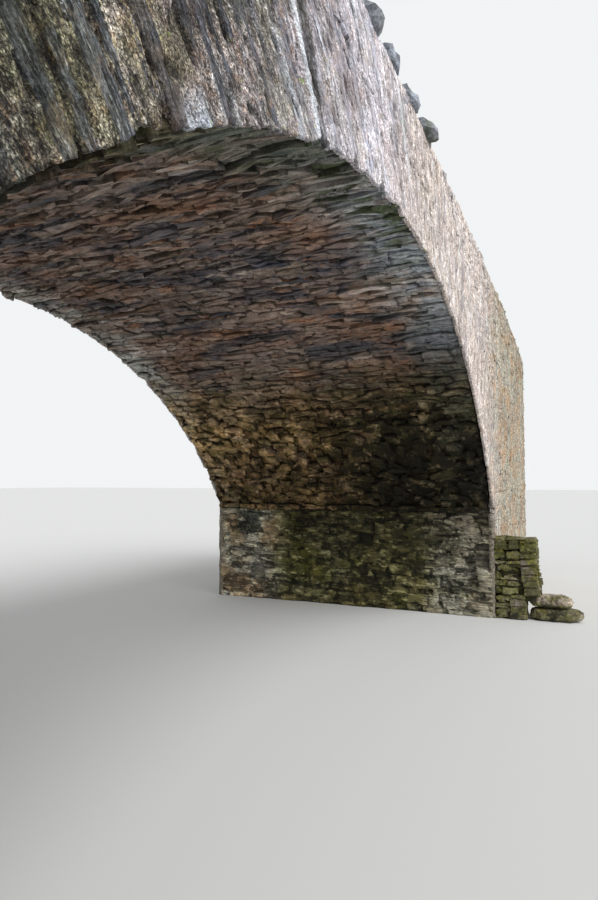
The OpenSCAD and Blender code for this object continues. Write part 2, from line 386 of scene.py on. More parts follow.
# %% Finishes under the arch
def soffit_stains(place):
    y = place.axis("Y")
    polar, curve, _ = around_arch(place)
    long = polar.stretched(2.2, 1.0, 0.7)
    squat = polar.stretched(1.0, 1.0, 0.6)
    low = abs(curve).between(2.3, 3.9)
    front, back = y.between(-1.35, -2.05), y.between(1.45, 2.05)
    heart = 1 - 0.9 * (front + back).between(0.0, 1.0)
    rusty = curve.within(-0.6, 0.2, 1.4, 2.2) * y.between(-0.4, 0.3)
    band = curve.within(0.1, 0.45, 0.7, 1.2) * y.between(0.95, -0.05)
    # A mask for painted light under the crown, stronger towards the front edge.
    painted_crown_light = curve.within(-1.2, 0.2, 1.3, 2.6) * (0.62 + 0.5 * front)
    grey, chalk = front * curve.between(-2.2, 0.3), back * curve.between(-0.6, 1.0)
    green, bloom = front * curve.between(0.4, -0.8), front * curve.within(2.5, 3.1, 4.0, 4.4)
    moss = front * curve.between(1.6, -0.2) * 0.70 + low * 0.40 + 0.20
    soot = low * (0.42 + 0.55 * y.between(0.6, -1.2))
    layers = [
        ((0.31, 0.165, 0.095), patches(long, 3.1, 0.9, 0.45, 0.60) * heart * 0.65),
        ((0.34, 0.255, 0.210), patches(polar, 5.9, 2.3, 0.46, 0.62) * heart * 0.6),
        ((0.35, 0.160, 0.075), patches(long, 44.2, 2.6, 0.59, 0.67) * heart * 0.65),
        ((0.058, 0.068, 0.095), patches(long, 7.7, 1.3, 0.50, 0.60) * (0.75 - 0.60 * low)),
        ((0.055, 0.063, 0.085), patches(polar, 1.3, 3.4, 0.40, 0.56) * band * 0.62),
        ((0.32, 0.335, 0.34), patches(polar, 12.9, 2.0, 0.36, 0.54) * grey * 0.85),
        ((0.47, 0.45, 0.40), patches(polar, 12.9, 2.6, 0.40, 0.54) * chalk * 0.85),
        ((0.165, 0.18, 0.135), patches(polar, 31.9, 2.4, 0.40, 0.58) * green * 0.75),
        ((0.39, 0.30, 0.165), patches(polar, 52.6, 3.2, 0.42, 0.56) * low * 0.80),
        ((0.68, 0.58, 0.44), patches(polar, 71.4, 8.0, 0.54, 0.60) * low * 0.88),
        ((0.010, 0.011, 0.005), patches(polar, 81.3, 5.2, 0.47, 0.52) * low * y.between(0.9, -0.5) * 0.92),
        ((0.32, 0.35, 0.29), patches(polar, 91.7, 3.5, 0.48, 0.55) * bloom * 0.8),
        ((0.052, 0.068, 0.020), patches(long, 30.2, 2.6, 0.50, 0.58) * moss),
        ((0.012, 0.012, 0.004), patches(polar, 21.4, 2.1, 0.48, 0.54) * soot),
        ((0.010, 0.010, 0.004), patches(squat, 62.5, 6.5, 0.53, 0.60) * low * 0.85),
        ((0.10, 0.072, 0.022), low * 0.22),
    ]
    foot = abs(curve).between(3.7, 4.7)
    # dim: darker low down and at the foot, lighter at the back edge, and painted light lifts the crown.
    dim = (1 - 0.61 * low * y.between(0.8, -1.25)) * (1 + 0.48 * painted_crown_light)
    dim = dim * (1 - 0.26 * rusty) * (1 - 0.42 * foot)
    dim = dim * (1 - 0.38 * front * curve.between(1.5, 2.5)) * (1 + 0.22 * back)
    hue = heart.blend((1.06, 1.12, 1.18), (0.98, 0.96, 0.98)).towards((1.26, 1.05, 0.75), low)
    hue = hue.towards((1.10, 1.06, 0.76), low * y.between(0.2, -1.0))
    return layers, hue.shaded(dim * (1.07 + 0.30 * low))


slate_finish("soffit_slate", soffit_stains, (0.0, 0.085, 0.088, 0.104), (0.2, 0.19, 0.145, 0.115),
             (0.55, 0.31, 0.235, 0.185), (0.85, 0.38, 0.31, 0.255), (1.0, 0.58, 0.51, 0.45))
mortar_finish("soffit_joint", soffit_stains, (0.1, 0.008, 0.007, 0.006), (0.5, 0.055, 0.042, 0.032),
              (1.0, 0.19, 0.15, 0.12), radial=True)

# %% [markdown]
# ## On the faces
# Rain washes lime out of the joints in pale runs, and the whole of the dry middle has gone pinkish white,
# with painted light making it brighter still. The front left is damp, and painted shade makes it darker
# still, with blue-grey slates standing in it along the radii, and one thick pale drip of lime down it beside
# a painted shadow. The back is plain and dry.

# %% Finishes of the faces
DRIP_CURVE, DRIP_SLANT = -1.69, 0.25


def face_stains(place):
    x, y, z = place.axes()
    polar, curve, radius = around_arch(place)
    wobble = place.noise(7.0, 3.0) - 0.5

    def streak(at, half, low, high, slant=0.0, wander=1.0):
        """One run on the face: where it is round the arch, half its width, and its two ends."""
        off = abs(curve + slant * radius + 0.07 * wander * wobble - at)
        return off.between(half, half * 0.45) * radius.within(low - 0.05, low + 0.05, high - 0.1, high + 0.1)

    facing = y.between(-1.92, -2.06)
    wander = x + 1.1 * (place.noise(1.1, 3.0) - 0.5)
    # The front left is damp, and it also takes a painted shade there (in wet, below).
    damp_and_shade = wander.between(0.4, -3.6) * (1 - 0.75 * wander.between(-4.8, -7.5)) * facing
    # The dry side is washed pale pinkish, and that wash also paints it lighter, as painted light.
    olive, dry_and_lit, far = x.between(-2.9, -3.5) * damp_and_shade, wander.between(-1.8, 0.6), wander.between(3.4, 6.0)
    # middle and right are parts of the face that are brightened below as painted light; middle also gets a
    # lilac tint.
    middle, right = x.within(-3.0, -1.6, -0.8, 0.6) * facing, x.within(-0.2, 0.9, 3.2, 4.4) * facing
    glint = 0.5 * polar.stretched(105, 62, 105).noise(1.0, 2.0, 0.6).between(0.42, 0.60)
    glint = glint + 0.5 * polar.stretched(34, 9, 34).noise(1.0, 3.0, 0.6).between(0.40, 0.62)
    lime = streak(-2.86, 0.14, -0.15, 0.10) * place.noise(20.0, 3.0).between(0.32, 0.46)
    drip = streak(DRIP_CURVE, 0.028 + 0.014 * radius, -0.05, 1.10, DRIP_SLANT, 0.6)
    run = streak(-1.88, 0.050, -0.05, 0.46, 0.38) * place.noise(30.0, 3.0).between(0.30, 0.50)
    # A painted shadow: a dark stripe beside the drip of lime.
    drip_shadow = streak(-1.590, 0.072, -0.05, 1.2, 0.17)
    drip_shadow = drip_shadow * (0.55 + 0.45 * place.noise(23.0, 3.0).between(0.40, 0.58))
    # A dark hollow painted on the face: ochre dirt, with painted shade in it.
    crevice = streak(-3.51, 0.034, 0.20, 0.30, 0.0, 0.7)
    ochre = 0.12 + 0.56 * x.between(-2.3, -3.1) * damp_and_shade
    flakes, hairs, chips = (polar.stretched(*by)
                            for by in ((7.0, 1.8, 2.0), (9.0, 0.8, 2.0), (12.0, 2.4, 2.0)))
    specks = polar.stretched(38, 16, 38).noise(1.0, 3.0).between(0.60, 0.66)
    layers = [
        ((0.84, 0.765, 0.74), dry_and_lit * 0.35),
        ((0.80, 0.79, 0.85), middle * 0.40),
        ((0.70, 0.46, 0.22), patches(place, 15.8, 4.2, 0.48, 0.59) * ochre),
        ((0.80, 0.48, 0.30), patches(place, 61.2, 15.0, 0.55, 0.63) * (0.10 + 0.50 * damp_and_shade)),
        ((0.74, 0.46, 0.30), patches(place, 4.8, 3.2, 0.47, 0.57) * (0.08 + 0.76 * far)),
        ((0.42, 0.43, 0.45), patches(polar.stretched(5.0, 2.0, 1.0), 58.8, 1.6, 0.52, 0.62) * far * 0.6),
        ((0.47, 0.37, 0.34), patches(place, 6.3, 1.3, 0.47, 0.62) * (0.62 - 0.35 * dry_and_lit)),
        ((0.34, 0.33, 0.16), patches(place, 27.3, 2.4, 0.46, 0.60) * damp_and_shade * 0.50),
        ((0.15, 0.168, 0.225), patches(flakes, 36.2, 1.3, 0.55, 0.60, 0.3) * damp_and_shade * 0.70),
        ((0.88, 0.88, 0.86), patches(hairs, 9.4, 1.0, 0.61, 0.67, 0.25) * 0.75),
        ((0.20, 0.17, 0.155), patches(chips, 41.7, 1.1, 0.56, 0.66) * 0.55),
        ((0.12, 0.105, 0.075), patches(place, 18.9, 2.7, 0.54, 0.62) * (0.10 + 0.50 * damp_and_shade)),
        ((0.07, 0.06, 0.05), specks * (0.85 - 0.45 * dry_and_lit)),
        ((0.42, 0.55, 0.10), patches(place, 33.5, 8.0, 0.68, 0.72) * 0.75),
        ((0.66, 0.62, 0.16), patches(place, 29.0, 21.0, 0.66, 0.72) * damp_and_shade * 0.7),
        ((0.060, 0.060, 0.050), drip_shadow * 0.90 * facing),
        ((0.60, 0.605, 0.58), drip * 0.95 * facing),
        ((0.10, 0.055, 0.012), crevice * 0.92 * facing),
        ((0.56, 0.58, 0.575), run * 0.75 * facing),
        ((0.49, 0.52, 0.555), lime * facing),
        ((0.16, 0.15, 0.09), patches(place, 40.1, 2.2, 0.40, 0.60) * z.between(1.1, 0.1) * 0.7),
        ((0.22, 0.20, 0.155), z.between(1.7, 1.2) * abs(x).between(4.75, 4.55) * 0.75),
    ]
    # Where the damp front left takes its painted shade, lighter on lime, drip and run; glint lets pale grains
    # show through it.
    wet = damp_and_shade * (1 - 0.9 * lime) * (1 - 0.8 * drip) * (1 - 0.5 * run)
    # Painted shade on the front left, darker far right, and painted light on the middle and right of the
    # face.
    shade = (1 - wet * (0.930 - 0.47 * glint)) * (1 - 0.30 * far) * (1 + 0.42 * middle + 0.11 * right)
    # Inside the painted shade, painted light lifts a band near the left, and more painted shade darkens the
    # lowest left corner.
    shade = shade * (1 + 0.82 * x.within(-3.44, -3.35, -3.14, -2.75) * damp_and_shade)
    shade = shade * (1 - 0.38 * x.between(-3.37, -3.46) * radius.between(0.42, 0.12) * damp_and_shade)
    hue = olive.blend((0.99, 1.0, 1.03), (0.94, 0.99, 0.87)).towards((0.98, 1.02, 1.15), middle)
    return layers, hue.towards((1.00, 1.03, 0.90), far).shaded(shade)


slate_finish("face_slate", face_stains, (0.0, 0.34, 0.34, 0.37), (0.3, 0.54, 0.49, 0.47),
             (0.6, 0.64, 0.575, 0.545), (0.85, 0.68, 0.59, 0.52), (1.0, 0.82, 0.80, 0.79))
mortar_finish("face_mortar", face_stains, (0.1, 0.12, 0.100, 0.080), (0.35, 0.46, 0.37, 0.30),
              (0.55, 0.68, 0.60, 0.565), (0.72, 0.86, 0.73, 0.60), (0.95, 1.0, 0.97, 0.95), radial=True,
              slates=((0.0, 0.155, 0.172, 0.225), (0.45, 0.295, 0.305, 0.350), (0.62, 0.50, 0.44, 0.41),
                      (0.88, 0.66, 0.60, 0.56), (0.94, 0.95, 0.95, 0.94)))

# %% [markdown]
# ## On the abutments
# The walls that the arch springs from are dark and green with moss in their middle, and damp with painted
# shade darkens them high up under the springing. They are pale and rusty towards the back corner, with one
# black wet patch high up there.


# %% Finishes of the abutments
def abutment_stains(place):
    y, z = place.axis("Y"), place.axis("Z")
    tall, flat, flatter = (place.stretched(1.0, 1.0, squeeze) for squeeze in (0.5, 2.0, 2.4))
    corner, near, high = y.between(0.7, 1.5), y.between(-0.8, -1.7), z.between(0.5, 1.2)
    wet = y.within(1.38, 1.50, 1.80, 1.92) * (z + 0.5 * (place.noise(6.0) - 0.5)).between(0.95, 1.05)
    layers = [
        ((0.38, 0.36, 0.31), patches(place, 4.4, 2.4, 0.44, 0.60) * (0.25 + 0.45 * near + 0.30 * corner)),
        ((0.33, 0.205, 0.115), patches(place, 11.3, 1.6, 0.46, 0.60) * (0.28 + 0.45 * corner)),
        ((0.022, 0.030, 0.034), wet * 0.85),
        ((0.034, 0.030, 0.014), patches(tall, 8.2, 1.6, 0.44, 0.58) * (0.75 - 0.5 * corner)),
        ((0.075, 0.080, 0.012), patches(place, 26.3, 1.9, 0.46, 0.60) * (0.80 - 0.6 * corner - 0.3 * near)),
        ((0.105, 0.088, 0.030), 0.38 * (1 - corner) * (1 - 0.6 * near)),
        ((0.014, 0.016, 0.007), patches(flat, 55.1, 5.5, 0.50, 0.58) * (0.75 - 0.4 * corner)),
        ((0.60, 0.54, 0.40), patches(flatter, 35.7, 6.0, 0.55, 0.66) * 0.60),
    ]
    # dim: damp and painted shade darken the middle high up under the springing, less at the front; the back
    # corner and the front are lighter.
    dim = (1 - 0.49 * high * (1 - corner) * (1 - 0.55 * near)) * (1 + 0.92 * corner + 0.14 * near)
    hue = (corner + near).between(0.0, 1.0).blend((1.04, 1.05, 0.64), (1.07, 1.10, 1.04))
    return layers, hue.shaded(dim)


slate_finish("abutment_slate", abutment_stains, (0.0, 0.14, 0.132, 0.12), (0.35, 0.24, 0.205, 0.165),
             (0.8, 0.33, 0.29, 0.235), (1.0, 0.50, 0.46, 0.40))
mortar_finish("abutment_mortar", abutment_stains, (0.1, 0.010, 0.009, 0.008), (0.5, 0.10, 0.085, 0.068),
              (1.0, 0.30, 0.27, 0.22), slates=((0.0, 0.12, 0.115, 0.105), (0.4, 0.23, 0.20, 0.16),
                                               (0.8, 0.36, 0.32, 0.265), (1.0, 0.52, 0.49, 0.43)))

# %% [markdown]
# ## Dry tops and mossy toe walls
# Coping, road and filling lie open and carry only lichen and a little moss. The toe walls and their slabs
# stay wet and green, and the slabs' tops are painted pale, as painted light from above.


# %% Finishes of the tops and the toe walls
def dry_stains(place):
    return [
        ((0.36, 0.36, 0.33), patches(place, 6.6, 4.0, 0.56, 0.66) * 0.6),
        ((0.30, 0.26, 0.10), patches(place, 14.8, 8.0, 0.66, 0.72) * 0.5),
        ((0.07, 0.09, 0.03), patches(place, 22.2, 2.4, 0.54, 0.66) * 0.65),
    ], (1.0, 1.0, 1.0)


def damp_stains(place):
    z = place.axis("Z")
    return [
        ((0.38, 0.31, 0.25), patches(place, 5.4, 6.4, 0.48, 0.58) * 0.75),
        ((0.140, 0.138, 0.038), patches(place, 13.7, 5.2, 0.32, 0.48) * (0.74 + 0.16 * z.between(0.2, 1.0))),
        ((0.34, 0.31, 0.055), patches(place, 47.7, 11.0, 0.53, 0.63) * 0.6),
        ((0.014, 0.013, 0.008), patches(place, 19.2, 4.0, 0.52, 0.62) * (0.35 + 0.4 * z.between(0.5, 0.0))),
    ], 0.88 + 0.40 * place.noise(38.0, 3.0).between(0.35, 0.65)


def slab_stains(place):
    layers, shade = damp_stains(place)
    # Painted light on the slabs' tops, from above, in tan patches.
    painted_light_on_top = place.axis("Z").between(0.19, 0.27)
    return layers + [((0.70, 0.57, 0.47), patches(place, 66.3, 3.4, 0.42, 0.54) * painted_light_on_top * 0.75)], shade


EARTH = (0.1, 0.035, 0.027, 0.020), (0.5, 0.11, 0.085, 0.06), (1.0, 0.22, 0.18, 0.14)
slate_finish("rubble_stone", dry_stains, (0.0, 0.15, 0.14, 0.13), (0.4, 0.24, 0.215, 0.185),
             (0.7, 0.31, 0.275, 0.235), (1.0, 0.44, 0.41, 0.37))
slate_finish("coping_stone", dry_stains, (0.0, 0.34, 0.375, 0.44), (0.5, 0.47, 0.50, 0.55),
             (1.0, 0.62, 0.64, 0.66))
slate_finish("toe_slate", damp_stains, (0.0, 0.13, 0.122, 0.085), (0.4, 0.20, 0.180, 0.125),
             (0.75, 0.28, 0.245, 0.175), (1.0, 0.40, 0.34, 0.30))
slate_finish("toe_slab", slab_stains, (0.0, 0.24, 0.205, 0.15), (0.5, 0.30, 0.26, 0.19),
             (1.0, 0.42, 0.36, 0.30))
mortar_finish("rubble_earth", dry_stains, *EARTH)
mortar_finish("packed_fill", dry_stains, *EARTH, skinned=False)
mortar_finish("toe_joint", damp_stains, (0.1, 0.008, 0.009, 0.006), (0.5, 0.03, 0.032, 0.018),
              (1.0, 0.08, 0.085, 0.04))
mortar_finish("road_bed", dry_stains, (0.1, 0.09, 0.08, 0.065), (0.5, 0.24, 0.215, 0.18),
              (1.0, 0.40, 0.37, 0.33), skinned=False)
print("finishes:", len(finishes))

# %% [markdown]
# ## Slates to lay
# A few rough shapes are enough if each is laid at its own size and turn. Each starts as a block, cut across
# in two places and drawn in or out at each cut, so that it tapers or swells as split slate does. Its outer
# face lies at Y = 0 and its tail runs back into the wall. Shards, for the soffit, keep a broken outer face.
# Wall slates are bevelled round it instead, because the weather has rounded them.

# %% Slate shapes
SLATE = Vector((0.24, 0.12, 0.06))
PROFILES = [
    (0.75, 1.00, 0.95, 0.70), (1.00, 0.95, 0.85, 0.55), (0.90, 1.00, 1.00, 0.85), (0.55, 0.90, 1.00, 0.85),
    (0.95, 0.80, 0.95, 0.80), (0.80, 1.00, 0.85, 0.95), (0.45, 0.85, 1.00, 0.60), (1.00, 1.00, 0.90, 0.95),
]
SHARDS, WALL_SLATES = range(0, 8), range(8, 16)


def written(mesh, name):
    """The finished bmesh as a plain mesh."""
    data = bpy.data.meshes.new(name)
    mesh.to_mesh(data)
    mesh.free()
    return data


def slate_shape(seed, profile, broken, rows, bevel):
    rng = random.Random(seed)
    mesh = bmesh.new()
    bmesh.ops.create_cube(mesh, size=1.0)
    bmesh.ops.translate(mesh, vec=(0, -0.5, 0), verts=mesh.verts)
    for axis, cuts in ((0, 2), (2, rows - 1)):
        if cuts:
            along = [e for e in mesh.edges if abs((e.verts[0].co - e.verts[1].co)[axis]) > 0.5]
            bmesh.ops.subdivide_edges(mesh, edges=along, cuts=cuts, use_grid_fill=True)
    for vert in mesh.verts:
        vert.co.z *= profile[round((vert.co.x + 0.5) * 3)]
        if vert.co.y > -0.5:
            vert.co.y -= rng.uniform(0, broken)
            vert.co.x += rng.uniform(-0.06, 0.06)
            vert.co.z += rng.uniform(-0.15, 0.15)
    tail = [f for f in mesh.faces if f.calc_center_median().y < -0.99]
    if len(tail) > 1:
        bmesh.ops.dissolve_faces(mesh, faces=tail)
    bmesh.ops.scale(mesh, vec=SLATE, verts=mesh.verts)
    if bevel:
        rim = [edge for edge in mesh.edges
               if min(vert.co.y for vert in edge.verts) > -0.5 * SLATE.y and edge.calc_face_angle() > 0.7]
        bmesh.ops.bevel(mesh, geom=rim, offset=0.007, offset_type="OFFSET", segments=1, profile=0.5,
                        affect="EDGES", material=-1, clamp_overlap=True)
    bmesh.ops.recalc_face_normals(mesh, faces=mesh.faces)
    local = mesh.verts.layers.float_vector.new("local")
    for vert in mesh.verts:
        vert[local] = vert.co
    return mesh


quarry = bpy.data.collections.new("quarry")
for numbers, broken, rows, bevel in ((SHARDS, 0.19, 3, False), (WALL_SLATES, 0.08, 1, True)):
    for number, profile in zip(numbers, PROFILES):
        name = f"slate_{number:02d}"
        shape = written(slate_shape(number, profile, broken, rows, bevel), name)
        quarry.objects.link(bpy.data.objects.new(name, shape))

# %% [markdown]
# ## Laying them
# Geometry Nodes can put a shape on every point of a mesh. So the layout is a mesh of bare points, and each
# point carries its slate's turn, size, tint and which shape it is. The node group reads these, makes the
# slates real, bends them a little by noise, gives them their finish and joins them to the bed of mortar that
# they stand in. Its nodes come from the same class as the shaders' do.

# %% The node group
RIPPLE = 0.07


def laying_group():
    group = bpy.data.node_groups.new("lay_slates", "GeometryNodeTree")
    for name, way, kind in (("Bed", "INPUT", "Geometry"), ("Layout", "INPUT", "Object"),
                            ("Finish", "INPUT", "Material"), ("Wall", "OUTPUT", "Geometry")):
        group.interface.new_socket(name, in_out=way, socket_type="NodeSocket" + kind)
    node = Field(group).node
    bed, layout, finish = (node("NodeGroupInput", output=name) for name in ("Bed", "Layout", "Finish"))
    points = node("GeometryNodeObjectInfo", None, {"Object": layout}, "Geometry")
    shapes = node("GeometryNodeCollectionInfo", None,
                  {"Collection": quarry, "Separate Children": True, "Reset Children": True})
    turn, size, pick = (
        node("GeometryNodeInputNamedAttribute", {"data_type": kind}, {"Name": name}, "Attribute")
        for name, kind in (("turn", "FLOAT_VECTOR"), ("size", "FLOAT_VECTOR"), ("pick", "INT")))
    wall = node("GeometryNodeInstanceOnPoints", None, {
        "Points": points, "Instance": shapes, "Pick Instance": True, "Instance Index": pick, "Rotation": turn,
        "Scale": size})
    wall = node("GeometryNodeRealizeInstances", None, {"Geometry": wall})
    ripple = node("ShaderNodeTexNoise", None, {"Scale": 9.0, "Detail": 3.0, "Roughness": 0.65}, "Color")
    shift = node("ShaderNodeVectorMath", {"operation": "MULTIPLY_ADD"},
                 {0: ripple, 1: (RIPPLE,) * 3, 2: (-RIPPLE / 2,) * 3})
    wall = node("GeometryNodeSetPosition", None, {"Geometry": wall, "Offset": shift})
    wall = node("GeometryNodeSetMaterial", None, {"Geometry": wall, "Material": finish})
    wall = node("GeometryNodeJoinGeometry", None, {"Geometry": wall})
    group.links.new(bed.socket, wall.socket.node.inputs["Geometry"])
    group.links.new(wall.socket, group.nodes.new("NodeGroupOutput").inputs["Wall"])
    return group


laying = laying_group()
sockets = {item.name: item.identifier for item in laying.interface.items_tree}
print("node group inputs:", sorted(sockets))

# %% [markdown]
# ## The core of each piece
# A copy of each CAD solid is the core of the piece, with its open faces set back by a few centimetres.
# Mortar and slates go in front of it and come out again at the true plane of the wall. Each rule names an
# axis, the plane and the step back. The toe walls are laid dry, so their cores only fill their middles.

# %% Cores
SET_BACK, SOFFIT_SET_BACK, LEDGE_SET_BACK, TOE_CORE = 0.05, 0.08, 0.066, 0.76
MERGED, ON_PLANE, ON_SOFFIT = 1e-4, 1e-3, 0.003
pieces = {}


def core(node, rules, round_soffit=False, shrink=1.0):
    mesh = bmesh.new()
    mesh.from_mesh(nodes[node].data)
    bmesh.ops.remove_doubles(mesh, verts=mesh.verts, dist=MERGED)
    for vert in mesh.verts:
        spoke = Vector((vert.co.x, 0, vert.co.z - ARCH_Z))
        if round_soffit and abs(spoke.length - SOFFIT_R) < ON_SOFFIT:
            vert.co += spoke.normalized() * SOFFIT_SET_BACK
        for axis, plane, step in rules:
            if abs(vert.co[axis] - plane) < ON_PLANE:
                vert.co[axis] += step
    if shrink < 1:
        low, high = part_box(node)
        foot = Vector(((low.x + high.x) / 2, (low.y + high.y) / 2, low.z))
        bmesh.ops.translate(mesh, vec=-foot, verts=mesh.verts)
        bmesh.ops.scale(mesh, vec=(shrink, shrink, shrink), verts=mesh.verts)
        bmesh.ops.translate(mesh, vec=foot, verts=mesh.verts)
    for name in ("relief", "slate", "tint"):
        mesh.verts.layers.float.new(name)
    pieces[node] = {"mesh": mesh, "layouts": {}}


core("arch_barrel", [], round_soffit=True)
for face, face_y, inner_y, outward in FACES:
    outer, inner = (1, face_y, -outward * SET_BACK), (1, inner_y, outward * SET_BACK)
    for side, sign in SIDES:
        end = (0, sign * END_X, -sign * SET_BACK)
        core(f"{face}_{side}_arch_ring", [outer], round_soffit=True)
        core(f"{face}_{side}_spandrel", [outer])
        core(f"{face}_{side}_wing_wall", [outer, end])
        core(f"{face}_{side}_parapet", [outer, inner, end])
for side, sign in SIDES:
    faces = [(1, FRONT_Y, SET_BACK), (1, BACK_Y, -SET_BACK)]
    core(f"{side}_abutment", faces + [(0, sign * HALF_SPAN, sign * SET_BACK)])
    core(f"{side}_springer_course", faces + [(0, sign * (HALF_SPAN - LEDGE_REACH), sign * LEDGE_SET_BACK)])
    core(f"{side}_approach_fill", [(0, sign * END_X, -sign * SET_BACK)])
    core(f"front_{side}_toe_wall", [], shrink=TOE_CORE)
core("roadway", [])
print("cores:", len(pieces))

# %% [markdown]
# ## Coursing
# A rubble wall is built in rough courses: a bed height that changes a little from course to course, and
# stones of any length along it. The rows wander by a couple of centimetres, because nothing was sawn.
# Each stone is put down as a note for later: where, which way it lies and faces, its size and its tint.

# %% Layouts
ALONG_X, ALONG_Y, UPWARD = Vector((1, 0, 0)), Vector((0, 1, 0)), Vector((0, 0, 1))


def lay(node, finish, shapes, at, along, out, size, rng, tint=None):
    out = out.normalized()
    along = (along - out * along.dot(out)).normalized()
    turn = Vector(Matrix((along, out, along.cross(out))).transposed().to_euler())
    scale = Vector((size[0] / SLATE.x, size[1] / SLATE.y, size[2] / SLATE.z))
    tint = rng.random() if tint is None else tint
    pieces[node]["layouts"].setdefault(finish, []).append((at, turn, scale, tint, rng.choice(shapes)))


def coursed(u0, u1, v0, v1, lengths, heights, rng):
    """Slates that fill a rectangle: the middle, the length and the height of each."""
    v = v0
    while v < v1 - 0.4 * heights[0]:
        height = min(rng.triangular(*heights), v1 - v)
        u = u0 - rng.uniform(0, 0.5) * lengths[0]
        while u < u1 - 0.3 * lengths[0]:
            length = rng.triangular(*lengths)
            start, end = max(u, u0), min(u + length, u1)
            if end - start > 0.3 * lengths[0]:
                yield (start + end) / 2, v + height / 2, end - start, height
            u += length
        v += height


def lean(rng, vector, amount):
    return vector + Vector([rng.uniform(-amount, amount) for _ in range(3)])


def bumps(x, y, z):
    """Smooth noise from -1 to 1."""
    return noise.noise(Vector((x, y, z)))


def clamped(value):
    return min(1.0, max(0.0, value))


def lerp(start, end, share):
    return start + (end - start) * share


def smooth(value, low, high):
    share = clamped((value - low) / (high - low))
    return share * share * (3 - 2 * share)


def quarter(x, y):
    """The face and the side that a stone is on, as a node's name starts."""
    return f"{'front' if y < MIDDLE_Y else 'back'}_{'left' if x < 0 else 'right'}"


def slates_laid():
    return sum(len(slates) for piece in pieces.values() for slates in piece["layouts"].values())


one_wall = list(coursed(0, 3, 0, 1, (0.10, 0.40, 0.18), (0.03, 0.095, 0.05), random.Random(1)))
print("3 m by 1 m of wall takes", len(one_wall), "slates")

# %% [markdown]
# ## Worn mortar
# The faces of this bridge are more mortar and broken edges than clean stone: a rough skin of lumps and pits.
# A bump alone would look flat at the arch's edge, so the skin is a fine grid that is pushed in and out by
# noise, with its rim turned back into the wall and closed behind. What is flush with the mortar is made in
# the skin as well, with a tint for each stone that the finish reads. Near the arch that is thin slates on
# edge along the radii, each with a ragged outline and a shadowed gap beside it, and the one thick drip of
# lime. On the abutments it is courses of rough blocks.

# %% Relief
BLUE_SLATES = (-3.59, -3.31, -2.96, -2.62)
DRAWER, PLAIN_TINT, LOWEST = 0.2, 0.5, -1.7


def standing_slates(seed, shaded):
    """Slates on edge along the radii, filed by where they are round the arch."""
    rng = random.Random(seed)
    filed = {}

    def stand(s, half, start, end, tint):
        slate = (s, half, start, end, rng.uniform(-0.14, 0.14), tint, rng.uniform(-0.3, 0.6))
        for drawer in range(math.floor((s - DRAWER) / DRAWER), math.floor((s + DRAWER) / DRAWER) + 1):
            filed.setdefault(drawer, []).append(slate)

    for tier in range(3):
        s = -ARC - 1.5
        while s < ARC + 1.5:
            width = rng.triangular(0.02, 0.12, 0.04)
            s += width + rng.triangular(0.05, 0.45, 0.12)
            start = 0.34 * tier + rng.triangular(-0.08, 0.22, 0.0)
            dark = min(1.0, max(0.12, (-0.6 - s) / 2)) if shaded else 0.35
            tint = rng.uniform(0.0, 0.6) if rng.random() < dark else rng.uniform(0.6, 0.95)
            stand(s, width / 2, start, start + rng.triangular(0.15, 0.75, 0.35), tint)
    for s in BLUE_SLATES if shaded else ():
        stand(s, rng.uniform(0.03, 0.05), -0.05, rng.uniform(0.4, 0.8), rng.uniform(0.0, 0.3))

    def laid(s, r, seed, height, rough):
        slate, tint = 0.0, PLAIN_TINT
        ragged = 0.016 * bumps(s * 34, r * 9, seed + 21)
        gap = 1.4 * max(0.0, bumps(s * 2.5, r * 2.5, seed + 31) + 0.05)
        for middle, half, start, end, tilt, kind, proud in filed.get(math.floor(s / DRAWER), ()):
            off = s - middle - tilt * (r - start)
            share = min((half - abs(off) + ragged) / 0.014, (r - start) / 0.05 + 0.5, (end - r) / 0.10 + 0.5)
            if share > slate:
                slate, tint = min(1.0, share), kind
                height = lerp(height, proud + rough, 0.75 * slate)
            elif share > -1.0 and off < 0:
                height -= gap
                tint = kind if slate == 0.0 else tint
        drip = 1 - abs(s - DRIP_CURVE - DRIP_SLANT * r) / 0.05 if shaded and r < 1.1 else 0.0
        if drip > 0:
            height, slate = lerp(height, 0.4 + 1.2 * drip, min(1.0, 2 * drip)), slate * (1 - drip)
        return height, slate, tint
    return laid


def blockwork(seed, lengths, heights):
    """Courses of rough blocks by height and by place along the wall."""
    rng = random.Random(seed)
    rows = [[]]
    for y, z, length, height in list(coursed(FRONT_Y, BACK_Y, 0.0, SPRINGING_Z, lengths, heights, rng)):
        if rows[-1] and abs(rows[-1][-1][1] - z) > 1e-6:
            rows.append([])
        rows[-1].append((y, z, length, height, rng.random(), rng.uniform(-0.9, 0.7)))

    def laid(s, r, seed, height, rough):
        z = s + 0.09 * bumps(s * 2.6, r * 2.2, seed + 3) + 0.012 * bumps(s * 19, r * 13, seed)
        y = r + 0.12 * bumps(s * 2.9, r * 2.5, seed + 6) + 0.02 * bumps(s * 15, r * 15, seed)
        row = min(rows, key=lambda blocks: abs(z - blocks[0][1]) - blocks[0][3] / 2)
        middle, level, long, high, tint, proud = min(row, key=lambda block: abs(y - block[0]) - block[2] / 2)
        inside = min(long / 2 - abs(y - middle), high / 2 - abs(z - level))
        gone = 0.35 + 1.1 * bumps(s * 3.1, r * 2.3, seed + 8)
        joint = clamped(1 - inside / 0.022) * clamped(gone)
        return height + proud * 0.8 + 0.6 * rough - 2.0 * joint, 1 - joint, tint
    return laid


